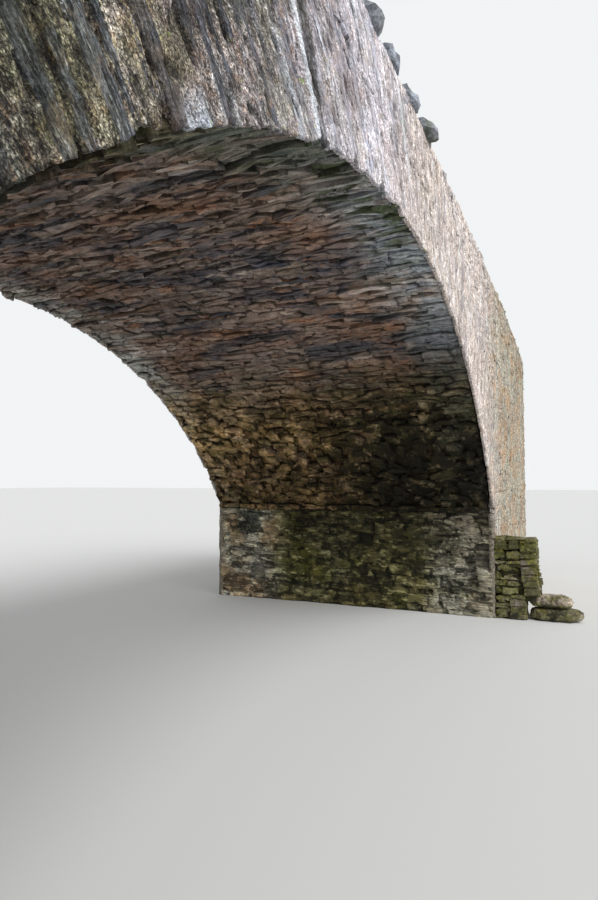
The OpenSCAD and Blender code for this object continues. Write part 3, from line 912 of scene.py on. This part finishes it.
def worn(s, r, seed, laid):
    """Height of the skin at s, r, then how much that is stone, and the stone's tint."""
    wander = s + 0.07 * bumps(s * 0.9, r * 1.7, seed + 2)
    swell = bumps(s * 1.6, r * 1.2, seed)
    ribs = bumps(wander * 24, r * 6, seed + 4) + 0.6 * bumps(wander * 46, r * 12, seed + 6)
    lumps = bumps(s * 13, r * 8, seed + 5) + 0.6 * bumps(s * 29, r * 18, seed + 9)
    grain = bumps(s * 62, r * 40, seed + 13)
    pits = max(0.0, bumps(wander * 14, r * 8, seed + 17) - 0.24)
    crack = max(0.0, 1 - abs(bumps(wander * 6.5, r * 2.8, seed + 27)) / 0.05)
    crack *= clamped(0.5 + 1.6 * bumps(s * 2, r * 2, seed + 33))
    height = 0.35 * swell + 0.44 * lumps + 0.24 * ribs + 0.34 * grain - 2.6 * pits - 0.6 * crack
    slate, tint = 0.0, PLAIN_TINT
    if laid:
        height, slate, tint = laid(s, r, seed, height, 0.35 * grain + 0.3 * ribs)
    return max(LOWEST, height), slate, tint


def linked_faces(verts):
    return list(dict.fromkeys(face for vert in verts for face in vert.link_faces))


def skin(node, cells, place, depth=0.07, finish=0, amount=0.016, flat=True, laid=None):
    """place(u, v) gives a point, the way out of the wall there, and where that is round the arch."""
    mesh = pieces[node]["mesh"]
    relief, stone, tinted = [mesh.verts.layers.float[name] for name in ("relief", "slate", "tint")]
    grid = bmesh.ops.create_grid(mesh, x_segments=cells[0], y_segments=cells[1], size=0.5)["verts"]
    behind = linked_faces(grid)
    pulled = bmesh.ops.extrude_face_region(mesh, geom=behind, use_keep_orig=True)["geom"]
    for vert in grid:
        point, out, *_ = place(vert.co.x + 0.5, vert.co.y + 0.5)
        vert.co, vert[relief] = point - out * depth, 0.45
    for vert in (item for item in pulled if isinstance(item, bmesh.types.BMVert)):
        point, out, s, r, seed = place(vert.co.x + 0.5, vert.co.y + 0.5)
        height, slate, tint = worn(s, r, seed, laid)
        vert.co = point + out * amount * height
        # relief holds the skin's height, which the mortar finish turns into a painted shade in its pits.
        vert[relief], vert[stone], vert[tinted] = clamped(0.5 + 0.5 * height), slate, tint
    faces = [item for item in pulled if isinstance(item, bmesh.types.BMFace)] + linked_faces(grid)
    for face in faces:
        face.smooth = True
        face.material_index = finish
    bmesh.ops.recalc_face_normals(mesh, faces=faces)
    if flat:
        bmesh.ops.dissolve_faces(mesh, faces=behind)


front_slates, back_slates = (standing_slates(61 + outward, face == "front") for face, _, _, outward in FACES)
print("skin 1 m left of the crown, 0.3 m up:", [round(one, 2) for one in worn(-1.0, 0.3, 6.0, front_slates)])

# %% [markdown]
# ## Where the skins lie
# A skin is a grid, so each needs a rule that turns a place on the grid into a place on the bridge: a strip
# of the soffit, the face of a ring, a wall between two lines, an end, or the top of a parapet. The ring's
# lower edge is chipped and hollowed, most of all at a few places to the left of the crown.

# %% Places on the bridge
NOTCHES = ((-3.66, 0.03, 0.04), (-3.535, 0.03, 0.05), (-3.06, 0.06, 0.09), (-2.62, 0.03, 0.04),
           (-1.635, 0.07, 0.08), (-1.22, 0.05, 0.05), (-0.55, 0.06, 0.06))


def soffit_point(s, rise=0.0):
    """A point on the arch's curve, s along it from the crown, and the way in towards its centre."""
    inward = Vector((-math.sin(s / SOFFIT_R), 0, -math.cos(s / SOFFIT_R)))
    return Vector((0, 0, ARCH_Z)) - inward * (SOFFIT_R + rise), inward


def under_arch(y0, y1, s0, s1):
    def place(u, v):
        s, y = lerp(s0, s1, u), lerp(y0, y1, v)
        point, inward = soffit_point(s, 0.035)
        return point + Vector((0, y, 0)), inward, s, y, 3.0
    return place


def ring_face(face_y, outward, sign):
    def place(u, v):
        s = sign * u * (ARC + 0.01)
        jag = 0.010 * bumps(s * 16, 1, outward) + 0.012 * bumps(s * 40, 5, outward)
        hollow = 0.05 * max(0.0, bumps(s * 3.3, 2, outward) - 0.05)
        for middle, half, high in NOTCHES if outward < 0 else ():
            hollow = max(hollow, high * (1 - abs(s - middle) / half))
        hollow += 0.07 * max(0.0, bumps(s * 7.5, 14, outward) - 0.08) * smooth(s, -2.4, -1.0)
        r = lerp(jag + hollow, RING_DEPTH + 0.006, v)
        point = soffit_point(s, r)[0] + Vector((0, face_y, 0))
        return point, Vector((0, outward, 0)), s + r * lean_at(s, smooth), r, 7.0 + outward
    return place


def round_arch(x, z):
    s, r = SOFFIT_R * math.atan2(x, z - ARCH_Z), math.hypot(x, z - ARCH_Z) - SOFFIT_R
    away = max(r - JOINTS_REACH, abs(s) - ARC) + 0.35 * bumps(x * 2.6, 4, z * 2.6)
    return (z, x) if away > 0 else (s + r * lean_at(s, smooth), r)


def wall_face(face_y, outward, x0, x1, lower, upper, ragged=0.0, frayed=0.0):
    def place(u, v):
        x = lerp(x0 + math.copysign(frayed, x0) * (0.4 + bumps(5, v * 9, outward)), x1, u)
        z = lerp(lower(x), upper(x) + ragged * bumps(x * 8, 3, outward), v)
        return Vector((x, face_y, z)), Vector((0, outward, 0)), *round_arch(x, z), 7.0 + outward
    return place


def end_face(plane, outward, y0, y1, z0, z1):
    def place(u, v):
        y, z = lerp(y0, y1, u), lerp(z0, z1, v)
        return Vector((plane, y, z)), Vector((outward, 0, 0)), z, y, 15.0 + outward
    return place


def parapet_top(y0, y1, x0, x1):
    def place(u, v):
        x, y = lerp(x0, x1, u), lerp(y0, y1, v)
        return Vector((x, y, parapet_level(x) - 0.012)), UPWARD, y, x, 19.0
    return place


def over_ring(x):
    return SKEW_Z if abs(x) > SKEW_X else ARCH_Z + math.sqrt(EXTRADOS_R ** 2 - x * x)


def foot(x):
    return 0.0


def over_abutment(x):
    return SKEW_Z


print(f"chips in the ring's edge: {len(NOTCHES)}, up to {max(high for *_, high in NOTCHES)} m high")

# %% [markdown]
# ## Laying the skins
# Each line names a piece, how many cells its grid has, and its place. Where the view is close, on the front
# left, a cell is about a centimetre wide. Elsewhere that would only cost time, so the back has half as many
# cells each way, and the parapets' tops and inner sides have few.

# %% Skins
END_INSET, END_RELIEF, SOFFIT_RELIEF = 0.016, 0.010, 0.018
skin("arch_barrel", (120, 44), under_arch(FRONT_INNER_Y, BACK_INNER_Y, -ARC, ARC), amount=SOFFIT_RELIEF,
     flat=False)
for (face, face_y, inner_y, outward), fine, laid in zip(FACES, (1.0, 0.5), (front_slates, back_slates)):
    for side, sign in SIDES:
        name = f"{face}_{side}_"
        near = fine * 1.45 if (face, side) == ("front", "left") else fine
        wall_end = sign * (END_X - 0.012)
        end = sign * (END_X - END_INSET), sign, face_y - outward * 0.008, inner_y
        skin(name + "arch_ring", (int(360 * near), int(24 * near)), ring_face(face_y, outward, sign),
             depth=0.032, finish=1, laid=laid)
        skin(name + "arch_ring", (60, 5), under_arch(face_y - outward * 0.06, inner_y, 0, sign * ARC),
             amount=SOFFIT_RELIEF, flat=False)
        skin(name + "spandrel", (int(280 * near), int(50 * fine)),
             wall_face(face_y, outward, 0, sign * WING_X, over_ring, road_level), laid=laid)
        skin(name + "wing_wall", (int(70 * fine), int(80 * fine)),
             wall_face(face_y, outward, sign * WING_X, wall_end, foot, road_level))
        skin(name + "wing_wall", (8, 60), end_face(*end, 0, DECK_END_Z), amount=END_RELIEF)
        skin(name + "parapet", (int(330 * fine), int(20 * fine)),
             wall_face(face_y, outward, 0, wall_end, road_level, parapet_level, 0.03), laid=laid)
        skin(name + "parapet", (110, 8), wall_face(inner_y, -outward, 0, wall_end, road_level, parapet_level))
        skin(name + "parapet", (160, 8), parapet_top(face_y, inner_y, 0, wall_end), amount=0.014)
        skin(name + "parapet", (8, 9), end_face(*end, DECK_END_Z, parapet_level(END_X)), amount=END_RELIEF)
        skin(f"{side}_abutment", (int(40 * fine), int(45 * fine)),
             wall_face(face_y, outward, sign * HALF_SPAN, sign * WING_X, foot, over_abutment, frayed=0.016),
             finish=1)
for side, sign in SIDES:
    skin(f"{side}_abutment", (190, 62),
         end_face(sign * HALF_SPAN, -sign, FRONT_Y + 0.03, BACK_Y - 0.03, 0, SPRINGING_Z - LEDGE_T),
         amount=0.022, laid=blockwork(71 + sign, (0.14, 0.50, 0.24), (0.05, 0.24, 0.10)))
    skin(f"{side}_approach_fill", (50, 50),
         end_face(sign * (END_X - 0.02), sign, FRONT_INNER_Y, BACK_INNER_Y, 0, DECK_END_Z - ROAD_T),
         amount=0.012)
print("triangles in the skins:", sum(len(f.verts) - 2 for one in pieces.values() for f in one["mesh"].faces))

# %% [markdown]
# ## The soffit's slates
# The soffit is the piece that the eye is on: broken slates on edge, side by side round the curve, each a
# little deeper or shallower than the next and tilted its own way. Low down they give way to blockier stones
# that stand out further.

# %% Soffit slates
rng = random.Random(5)
for y, s, length, height in coursed(FRONT_Y + 0.038, BACK_Y - 0.036, -ARC + 0.02, ARC - 0.02,
                                    (0.10, 0.56, 0.22), (0.026, 0.125, 0.052), rng):
    s += 0.035 * bumps(s * 0.8, y * 1.1, 3.0)
    low = clamped((abs(s) - 2.7) / 1.2)
    at, inward = soffit_point(s)
    proud = 0.024 * bumps(s * 2.1, y * 1.7, 8.0) + rng.triangular(-0.026, 0.028 + 0.030 * low, 0.0)
    if y + length / 2 > BACK_Y - 0.05:
        proud += rng.uniform(-0.01, 0.04)
    at += Vector((0, y, 0)) + inward * proud
    if FRONT_INNER_Y <= y <= BACK_INNER_Y:
        node, tilt = "arch_barrel", 0.09 + 0.16 * low
        if rng.random() < 0.14 * low:
            continue
    else:
        node, tilt = f"{quarter(s, y)}_arch_ring", 0.06
    size = (length * lerp(1.04, rng.uniform(0.5, 0.85), low), 0.13,
            height * lerp(rng.uniform(1.0, 1.15), rng.uniform(1.2, 1.9), low))
    tint = 0.5 + 0.7 * bumps(s * 1.9, y * 1.3, 41.0) + rng.uniform(-0.4, 0.4) * (1 + 0.7 * low)
    lay(node, "soffit_slate", WALL_SLATES if rng.random() < 0.7 * low else SHARDS, at,
        lean(rng, ALONG_Y, 0.10 + 0.20 * low), lean(rng, inward, tilt), size, rng, clamped(tint))
print("soffit slates:", slates_laid())

# %% [markdown]
# ## The walls' faces
# Above the rings and beside them the faces are level courses of thin rubble. The same courses run through
# spandrel, abutment and wing wall, so they are laid in one sweep and each slate goes to the piece it is on.
# About half of them are lost behind the mortar.


# %% Face slates
def face_piece(face, x, z):
    side, reach = ("left" if x < 0 else "right"), abs(x)
    if reach > WING_X:
        return f"{face}_{side}_wing_wall"
    if z < SKEW_Z and reach > HALF_SPAN:
        return f"{side}_abutment"
    if z > SPRINGING_Z and math.hypot(x, z - ARCH_Z) > EXTRADOS_R + 0.45:
        return f"{face}_{side}_spandrel"
    return None


rng = random.Random(23)
LENGTHS, HEIGHTS = (0.10, 0.40, 0.18), (0.03, 0.095, 0.05)
for face, face_y, _, outward in FACES:
    for x, z, length, height in coursed(-END_X, END_X, 0.0, ROAD_Z, LENGTHS, HEIGHTS, rng):
        ends = [face_piece(face, x + shift * length, z) for shift in (-0.3, 0, 0.3)]
        if z + 0.3 * height > road_level(x) or None in ends or rng.random() < 0.48:
            continue
        if ends[1].endswith("abutment") and abs(x) < HALF_SPAN + 0.02 + length / 2:
            x = math.copysign(HALF_SPAN + 0.02 + length / 2, x)
        z = max(z + 0.02 * bumps(x * 0.7, z, outward), 0.55 * height)
        at = Vector((x, face_y + outward * rng.triangular(-0.014, 0.012, 0.0), z))
        lay(ends[1], "face_slate", WALL_SLATES, at, lean(rng, ALONG_X, 0.05),
            lean(rng, Vector((0, outward, 0)), 0.08), (length * 0.97, 0.10, height * 0.96), rng)
print("slates laid so far:", slates_laid())

# %% [markdown]
# ## Parapets
# The low walls beside the road follow its hump, so their courses are laid by height above the road. Both
# sides show, and the top between the coping stones is a bed of flat stones. Where the coping is gone, on
# the front right, that bed stands up in places.


# %% Parapet slates
def along_hump(x):
    """The way along the road's curve, and the way up from it."""
    run = math.sqrt(ROAD_R ** 2 - x * x)
    return Vector((run, 0, -x)).normalized(), Vector((x, 0, run)).normalized()


rng = random.Random(31)
for face, face_y, inner_y, outward in FACES:
    for plane, look in ((face_y, outward), (inner_y, -outward)):
        for x, rise, length, height in coursed(-END_X, END_X, -0.02, PARAPET_H, (0.12, 0.42, 0.20),
                                               (0.04, 0.10, 0.06), rng):
            lost = 0.35 if plane == inner_y else 1.05 - 0.14 * abs(x)
            if rng.random() < max(0.4, lost):
                continue
            at = Vector((x, plane + look * rng.triangular(-0.014, 0.014, 0.0), road_level(x) + rise))
            lay(f"{quarter(x, face_y)}_parapet", "face_slate", WALL_SLATES, at, along_hump(x)[0],
                lean(rng, Vector((0, look, 0)), 0.07), (length * 0.98, 0.10, height * 0.96), rng)
    for x, across, length, width in coursed(-END_X, END_X, 0.02, abs(face_y - inner_y) - 0.02,
                                            (0.16, 0.45, 0.26), (0.10, 0.22, 0.15), rng):
        if rng.random() < 0.2:
            continue
        bare = face == "front" and x > 0.9
        proud = rng.triangular(-0.01, 0.06, 0.0) if bare else rng.uniform(-0.015, 0.012)
        at = Vector((x, min(face_y, inner_y) + across + rng.uniform(-0.03, 0.01), parapet_level(x) + proud))
        lay(f"{quarter(x, face_y)}_parapet", "face_slate", WALL_SLATES, at, along_hump(x)[0],
            lean(rng, along_hump(x)[1], 0.10), (length * 0.98, 0.12, width * 0.97), rng)
print("slates laid so far:", slates_laid())

# %% [markdown]
# ## Abutments and springers
# Between the rough blocks of the abutments' skin, single broken slates stand out from their faces under the
# arch. A ledge of long flat stones runs along their top, and the arch springs from it.

# %% Abutment slates
rng = random.Random(43)
for side, sign in SIDES:
    inward = Vector((-sign, 0, 0))
    for y, z, length, height in coursed(FRONT_Y + 0.01, BACK_Y - 0.01, 0.0, SPRINGING_Z - LEDGE_T,
                                        (0.14, 0.50, 0.24), (0.03, 0.15, 0.06), rng):
        if rng.random() < 0.66:
            continue
        z = max(z + 0.03 * bumps(y, z, sign), 0.55 * height)
        at = Vector((sign * HALF_SPAN, y, z)) + inward * rng.triangular(-0.03, 0.016, -0.005)
        lay(f"{side}_abutment", "abutment_slate", SHARDS, at,
            lean(rng, ALONG_Y, 0.08), lean(rng, inward, 0.14), (length, 0.11, height), rng)
    for y, _, length, _ in coursed(FRONT_Y + 0.01, BACK_Y - 0.01, 0.0, LEDGE_T, (0.16, 0.55, 0.3),
                                   (LEDGE_T, LEDGE_T, LEDGE_T), rng):
        reach = LEDGE_REACH - rng.triangular(0.0, 0.05, 0.01)
        at = Vector((sign * (HALF_SPAN - reach), y, SPRINGING_Z - LEDGE_T * rng.uniform(0.4, 0.6)))
        lay(f"{side}_springer_course", "soffit_slate", SHARDS, at, lean(rng, ALONG_Y, 0.06),
            lean(rng, inward, 0.16), (length * 0.98, 0.22, LEDGE_T * rng.uniform(0.7, 1.15)), rng)
print("slates laid so far:", slates_laid())

# %% [markdown]
# ## The two ends
# At its ends the bridge is cut off square, so the walls and the filling between them show in section: the
# walls' own stones, and larger packed rubble between them.

# %% End slates
rng = random.Random(53)
for side, sign in SIDES:
    for y, z, length, height in coursed(FRONT_Y, BACK_Y, 0.0, DECK_END_Z + PARAPET_H, (0.14, 0.42, 0.22),
                                        (0.05, 0.13, 0.08), rng):
        node, finish = f"{side}_approach_fill", "rubble_stone"
        if not FRONT_INNER_Y < y < BACK_INNER_Y:
            wall = "wing_wall" if z < DECK_END_Z else "parapet"
            node, finish = f"{quarter(sign, y)}_{wall}", "face_slate"
            if abs(y - MIDDLE_Y) - length / 2 < BACK_INNER_Y - MIDDLE_Y:
                y = math.copysign((BACK_INNER_Y + BACK_Y) / 2 - MIDDLE_Y, y - MIDDLE_Y) + MIDDLE_Y
                length = min(length, 0.38)
        elif z + height / 2 > DECK_END_Z - ROAD_T:
            continue
        at = Vector((sign * (END_X - 0.006 - rng.uniform(0, 0.022)), y, max(z, 0.55 * height)))
        lay(node, finish, WALL_SLATES, at, ALONG_Y, Vector((sign, 0, 0)),
            (length * 0.97, 0.09, height * 0.96), rng)
print("slates laid so far:", slates_laid())

# %% [markdown]
# ## Toe walls and road
# The toe walls are laid dry: bigger blocks without mortar on all their faces, with dark gaps between. The
# road is a bed of rolled stones, and the largest of them show.

# %% Toe wall and road stones
rng = random.Random(67)
TOE_SEAT, TOE_BED, TOE_BATTER, ROAD_STONES = 0.18, 0.33, 0.06, 900
for side, sign in SIDES:
    node = f"front_{side}_toe_wall"
    low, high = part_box(node)

    def outer_end(z):
        return low.y + (TOE_SEAT if z < TOE_BED else TOE_BATTER * (z - TOE_BED) / (high.z - TOE_BED))

    for bottom, top in ((0.0, TOE_BED), (TOE_BED, high.z)):
        for x, look in ((HALF_SPAN, -sign), (HALF_SPAN + high.x - low.x, sign)):
            out = Vector((look, 0, 0))
            for y, z, length, height in coursed(low.y, high.y, bottom, top,
                                                (0.14, 0.40, 0.24), (0.05, 0.15, 0.09), rng):
                start, end = max(y - length / 2, outer_end(z) + 0.015), y + length / 2
                if end - start < 0.07:
                    continue
                at = Vector((sign * x, (start + end) / 2, max(z, 0.55 * height)))
                at -= out * rng.uniform(0.0, 0.045)
                shapes = SHARDS if rng.random() < 0.5 else WALL_SLATES
                lay(node, "toe_slate", shapes, at, lean(rng, ALONG_Y, 0.12), lean(rng, out, 0.20),
                    (end - start, 0.20, height * rng.uniform(0.85, 1.1)), rng)
        for x, z, length, height in coursed(low.x, high.x, bottom, top,
                                            (0.14, 0.30, 0.2), (0.06, 0.14, 0.09), rng):
            at = Vector((x, outer_end(z) + rng.uniform(0.012, 0.03), max(z, 0.55 * height)))
            lay(node, "toe_slate", WALL_SLATES, at, ALONG_X, Vector((0, -1, 0.07 if bottom else 0.0)),
                (length * 0.96, 0.2, height * 0.96), rng)
    for x, y, length, width in coursed(low.x, high.x, low.y + TOE_BATTER + 0.02, high.y, (0.18, 0.42, 0.28),
                                       (0.12, 0.26, 0.18), rng):
        at = Vector((x, y, high.z - rng.uniform(0.006, 0.03)))
        lay(node, "toe_slate", WALL_SLATES, at, ALONG_X, UPWARD, (length * 0.95, 0.12, width * 0.95), rng)
for number in range(ROAD_STONES):
    x, y = rng.uniform(-END_X + 0.1, END_X - 0.1), rng.uniform(FRONT_INNER_Y + 0.08, BACK_INNER_Y - 0.08)
    long = rng.triangular(0.05, 0.22, 0.09)
    angle = rng.uniform(0, math.tau)
    at = Vector((x, y, road_level(x) - rng.uniform(-0.008, 0.010)))
    lay("roadway", "rubble_stone", WALL_SLATES, at, Vector((math.cos(angle), math.sin(angle), 0)),
        along_hump(x)[1], (long, 0.04, long * rng.uniform(0.5, 0.9)), rng)
print("slates laid:", slates_laid())

# %% [markdown]
# ## Putting each piece together
# For each piece: write out its core and skins, run the node group once for each finish of slate, keep the
# result as a plain mesh, and let it stand for the CAD node. Slates at the foot, at the faces and at the two
# ends are trimmed to the box of the CAD part.

# %% Assembly
# How a node's name ends, then its slot and the mortars of its core and its skins.
DRESSING = {
    "arch_barrel": ("slate_soffit", "soffit_joint"),
    "arch_ring": ("slate_ring", "soffit_joint", "face_mortar"),
    "abutment": ("slate_abutment", "abutment_mortar", "face_mortar"),
    "springer_course": ("slate_abutment", "abutment_mortar", "face_mortar"),
    "spandrel": ("slate_face", "face_mortar"),
    "wing_wall": ("slate_face", "face_mortar"),
    "parapet": ("slate_face", "face_mortar"),
    "fill": ("rubble", "rubble_earth"),
    "toe_wall": ("mossy_slate", "toe_joint"),
    "roadway": ("road_stone", "road_bed"),
}


def layout_points(slates):
    mesh = bmesh.new()
    layers = mesh.verts.layers
    turn, size = layers.float_vector.new("turn"), layers.float_vector.new("size")
    tint, pick = layers.float.new("tint"), layers.int.new("pick")
    for at, *notes in slates:
        vert = mesh.verts.new(at)
        vert[turn], vert[size], vert[tint], vert[pick] = notes
    return mesh


def stands_for(piece, node, slot):
    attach(piece, "root")
    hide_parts(node)
    triangles = sum(len(face.vertices) - 2 for face in piece.data.polygons)
    print(f"{node}: {triangles} triangles")
    return triangles


def build(node, slot, *mortars):
    piece = placed(f"{node}_masonry", written(pieces[node]["mesh"], node))
    for mortar in mortars:
        piece.data.materials.append(finishes[mortar])
    layouts = []
    for finish, slates in pieces[node]["layouts"].items():
        name = f"{node}_{finish}"
        layouts.append(bpy.data.objects.new(name, written(layout_points(slates), name)))
        modifier = piece.modifiers.new(finish, "NODES")
        modifier.node_group = laying
        modifier[sockets["Layout"]] = layouts[-1]
        modifier[sockets["Finish"]] = finishes[finish]
    graph = bpy.context.evaluated_depsgraph_get()
    data = bpy.data.meshes.new_from_object(piece.evaluated_get(graph), preserve_all_data_layers=True,
                                           depsgraph=graph)
    piece.modifiers.clear()
    piece.data = data
    data.name = piece.name
    for name in ("turn", "size", "pick"):
        if name in data.attributes:
            data.attributes.remove(data.attributes[name])
    for vert in data.vertices:
        vert.co = [min(max(value, least), most) for value, least, most in zip(vert.co, *cad_box)]
    for layout in layouts:
        bpy.data.objects.remove(layout)
    return stands_for(piece, node, slot)


total = 0
for node in pieces:
    total += build(node, *next(dress for ending, dress in DRESSING.items() if node.endswith(ending)))
print("triangles in the walls:", total)

# %% [markdown]
# ## Coping stones and slabs
# The CAD solids give each coping stone its place and size. The real ones are rough lumps. So a fine ball is
# cast out from the middle of each stone on to its faces, and then drawn in a little by noise. The lump
# keeps the stone's proportions, stays inside it, and has no sharp CAD edge left. The two slabs of each toe
# wall are flatter: the ball is cast level on to the slab's sides, and its height is rounded off to the edge.

# %% Lumps
SUNK = 0.012


def islands(mesh):
    """The separate stones of a mesh, the last one first, as lists of their vertices."""
    found = set()
    for first in reversed(list(mesh.verts)):
        if first not in found:
            group = [first]
            found.add(first)
            for vert in group:
                fresh = [edge.other_vert(vert) for edge in vert.link_edges]
                fresh = [other for other in fresh if other not in found]
                group += fresh
                found.update(fresh)
            yield group


def lump(mesh, tree, centre, half, detail, rough, seed, level):
    local, tint = mesh.verts.layers.float_vector["local"], mesh.verts.layers.float["tint"]
    kind = random.Random(seed).random()
    for vert in bmesh.ops.create_icosphere(mesh, subdivisions=detail, radius=1.0)["verts"]:
        way, rise = vert.co.normalized(), 0.0
        if level:
            rise = math.copysign(abs(way.z) ** 0.55, way.z) * half
            way.z = 0.0
        spread = way.length
        way = way.normalized() if spread > 1e-4 else ALONG_X
        reaches = []
        for turn in (-0.25, 0.0, 0.25) if level else (0.0,):
            hit = tree.ray_cast(centre, Matrix.Rotation(turn, 3, "Z") @ way)[0]
            reaches.append(((tree.find_nearest(centre + way)[0] if hit is None else hit) - centre).length)
        reach = way * ((min(reaches) + sum(reaches) / len(reaches)) / 2) * (spread ** 0.5 if level else 1.0)
        spot = centre + reach + Vector((seed, 0, rise))
        chips = noise.voronoi(spot * 7)[0][0] + 0.4 * noise.voronoi(spot * 19)[0][0]
        wear = 1.15 - 1.1 * chips + 0.3 * noise.noise(spot * 4) + 0.12 * noise.noise(spot * 34)
        vert.co = centre + (reach + Vector((0, 0, rise))) * (1 - rough * clamped(wear))
        vert[local] = vert.co - centre + ALONG_Y
        vert[tint] = kind
        for face in vert.link_faces:
            face.smooth = level


def weathered(node, slot, finish, detail, rough, levels=None):
    stones, solid = bmesh.new(), bmesh.new()
    stones.verts.layers.float_vector.new("local")
    stones.verts.layers.float.new("tint")
    solid.from_mesh(nodes[node].data)
    bmesh.ops.remove_doubles(solid, verts=solid.verts, dist=MERGED)
    tree = BVHTree.FromBMesh(solid)
    for number, group in enumerate(islands(solid)):
        low, high = (Vector(map(pick, *(vert.co for vert in group))) for pick in (min, max))
        centre = (low + high) / 2
        for floor, ceiling in levels or [(low.z, high.z)]:
            centre.z = (floor + ceiling) / 2
            lump(stones, tree, centre, (ceiling - floor) / 2, detail, rough, number + 7 * floor, bool(levels))
    solid.free()
    if not levels:
        bmesh.ops.translate(stones, vec=(0, 0, -SUNK), verts=stones.verts)
    name = f"{node}_weathered"
    piece = placed(name, written(stones, name))
    piece.data.materials.append(finishes[finish])
    return stands_for(piece, node, slot)


for node in nodes:
    if node.endswith("_coping"):
        detail = 4 if node == "front_right_coping" else 3
        total += weathered(node, "coping_slate", "coping_stone", detail, 0.27)
    elif node.endswith("_toe_slabs"):
        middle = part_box(node)[1].z / 2
        total += weathered(node, "mossy_slate", "toe_slab", 5, 0.22, [(0.0, middle), (middle, 2 * middle)])
print("triangles added:", total)

# %% [markdown]
# ## What stays as CAD solids
# The fills over the haunches are buried, so their CAD shapes are right. They get a packed rubble finish.

# %% Finishes on CAD nodes
for node in ("left_haunch_fill", "right_haunch_fill"):
    nodes[node].data.materials.clear()
    nodes[node].data.materials.append(finishes["packed_fill"])
print("CAD nodes that show as they are:", [name for name, node in nodes.items() if not node.hide_render])

# %% [markdown]
# ## Light and floor
# A cloudy sky lights all sides alike, so a pale world does most of the work. One broad soft sun from the
# front gives the faces their light and leaves the arch in its own shade. The floor is plain and pale.

# %% Light and floor
SKY_COLOUR, SKY_LIGHT, SKY_SEEN = (0.93, 0.95, 0.96, 1), 0.65, 0.95
SUN_FROM, SUN_ENERGY, SUN_WIDTH = Vector((-0.35, -0.75, 0.75)), 2.8, math.radians(50)
FLOOR_COLOUR, FLOOR_ROUGHNESS, FLOOR_REACH = (0.62, 0.62, 0.61, 1), 0.9, 150

world = bpy.data.worlds.new("sky")
bpy.context.scene.world = world
world.use_nodes = True
seen, glossy = (Field(world.node_tree).node("ShaderNodeLightPath", output=ray)
                for ray in ("Is Camera Ray", "Is Glossy Ray"))
background = world.node_tree.nodes["Background"]
background.inputs["Color"].default_value = SKY_COLOUR
strength = SKY_LIGHT + (SKY_SEEN - SKY_LIGHT) * seen.maths("MAXIMUM", glossy)
world.node_tree.links.new(strength.socket, background.inputs["Strength"])

sun_data = bpy.data.lights.new("soft_sun", "SUN")
sun_data.energy, sun_data.angle = SUN_ENERGY, SUN_WIDTH
placed("soft_sun", sun_data).matrix_world = SUN_FROM.to_track_quat("Z", "Y").to_matrix().to_4x4()

floor_mesh = bmesh.new()
bmesh.ops.create_grid(floor_mesh, x_segments=1, y_segments=1, size=FLOOR_REACH)
floor = placed("floor", written(floor_mesh, "floor"))
floor_finish = finishes.new("floor")
floor_finish.use_nodes = True
floor_shader = floor_finish.node_tree.nodes["Principled BSDF"]
floor_shader.inputs["Base Color"].default_value = FLOOR_COLOUR
floor_shader.inputs["Roughness"].default_value = FLOOR_ROUGHNESS
floor.data.materials.append(floor_finish)
floor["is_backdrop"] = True

bpy.context.scene.view_settings.view_transform = "Standard"
print("sun", round(math.degrees(SUN_WIDTH)), "degrees wide")

# %% [markdown]
# ## Close
# Both boxes are printed: the CAD part's and the dressed bridge's. The dressed bridge
# must be no larger than the CAD part.

# %% Sizes and finish
size = {"cad": [list(corner) for corner in cad_box], "visual": [list(corner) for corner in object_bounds()]}
print(size)
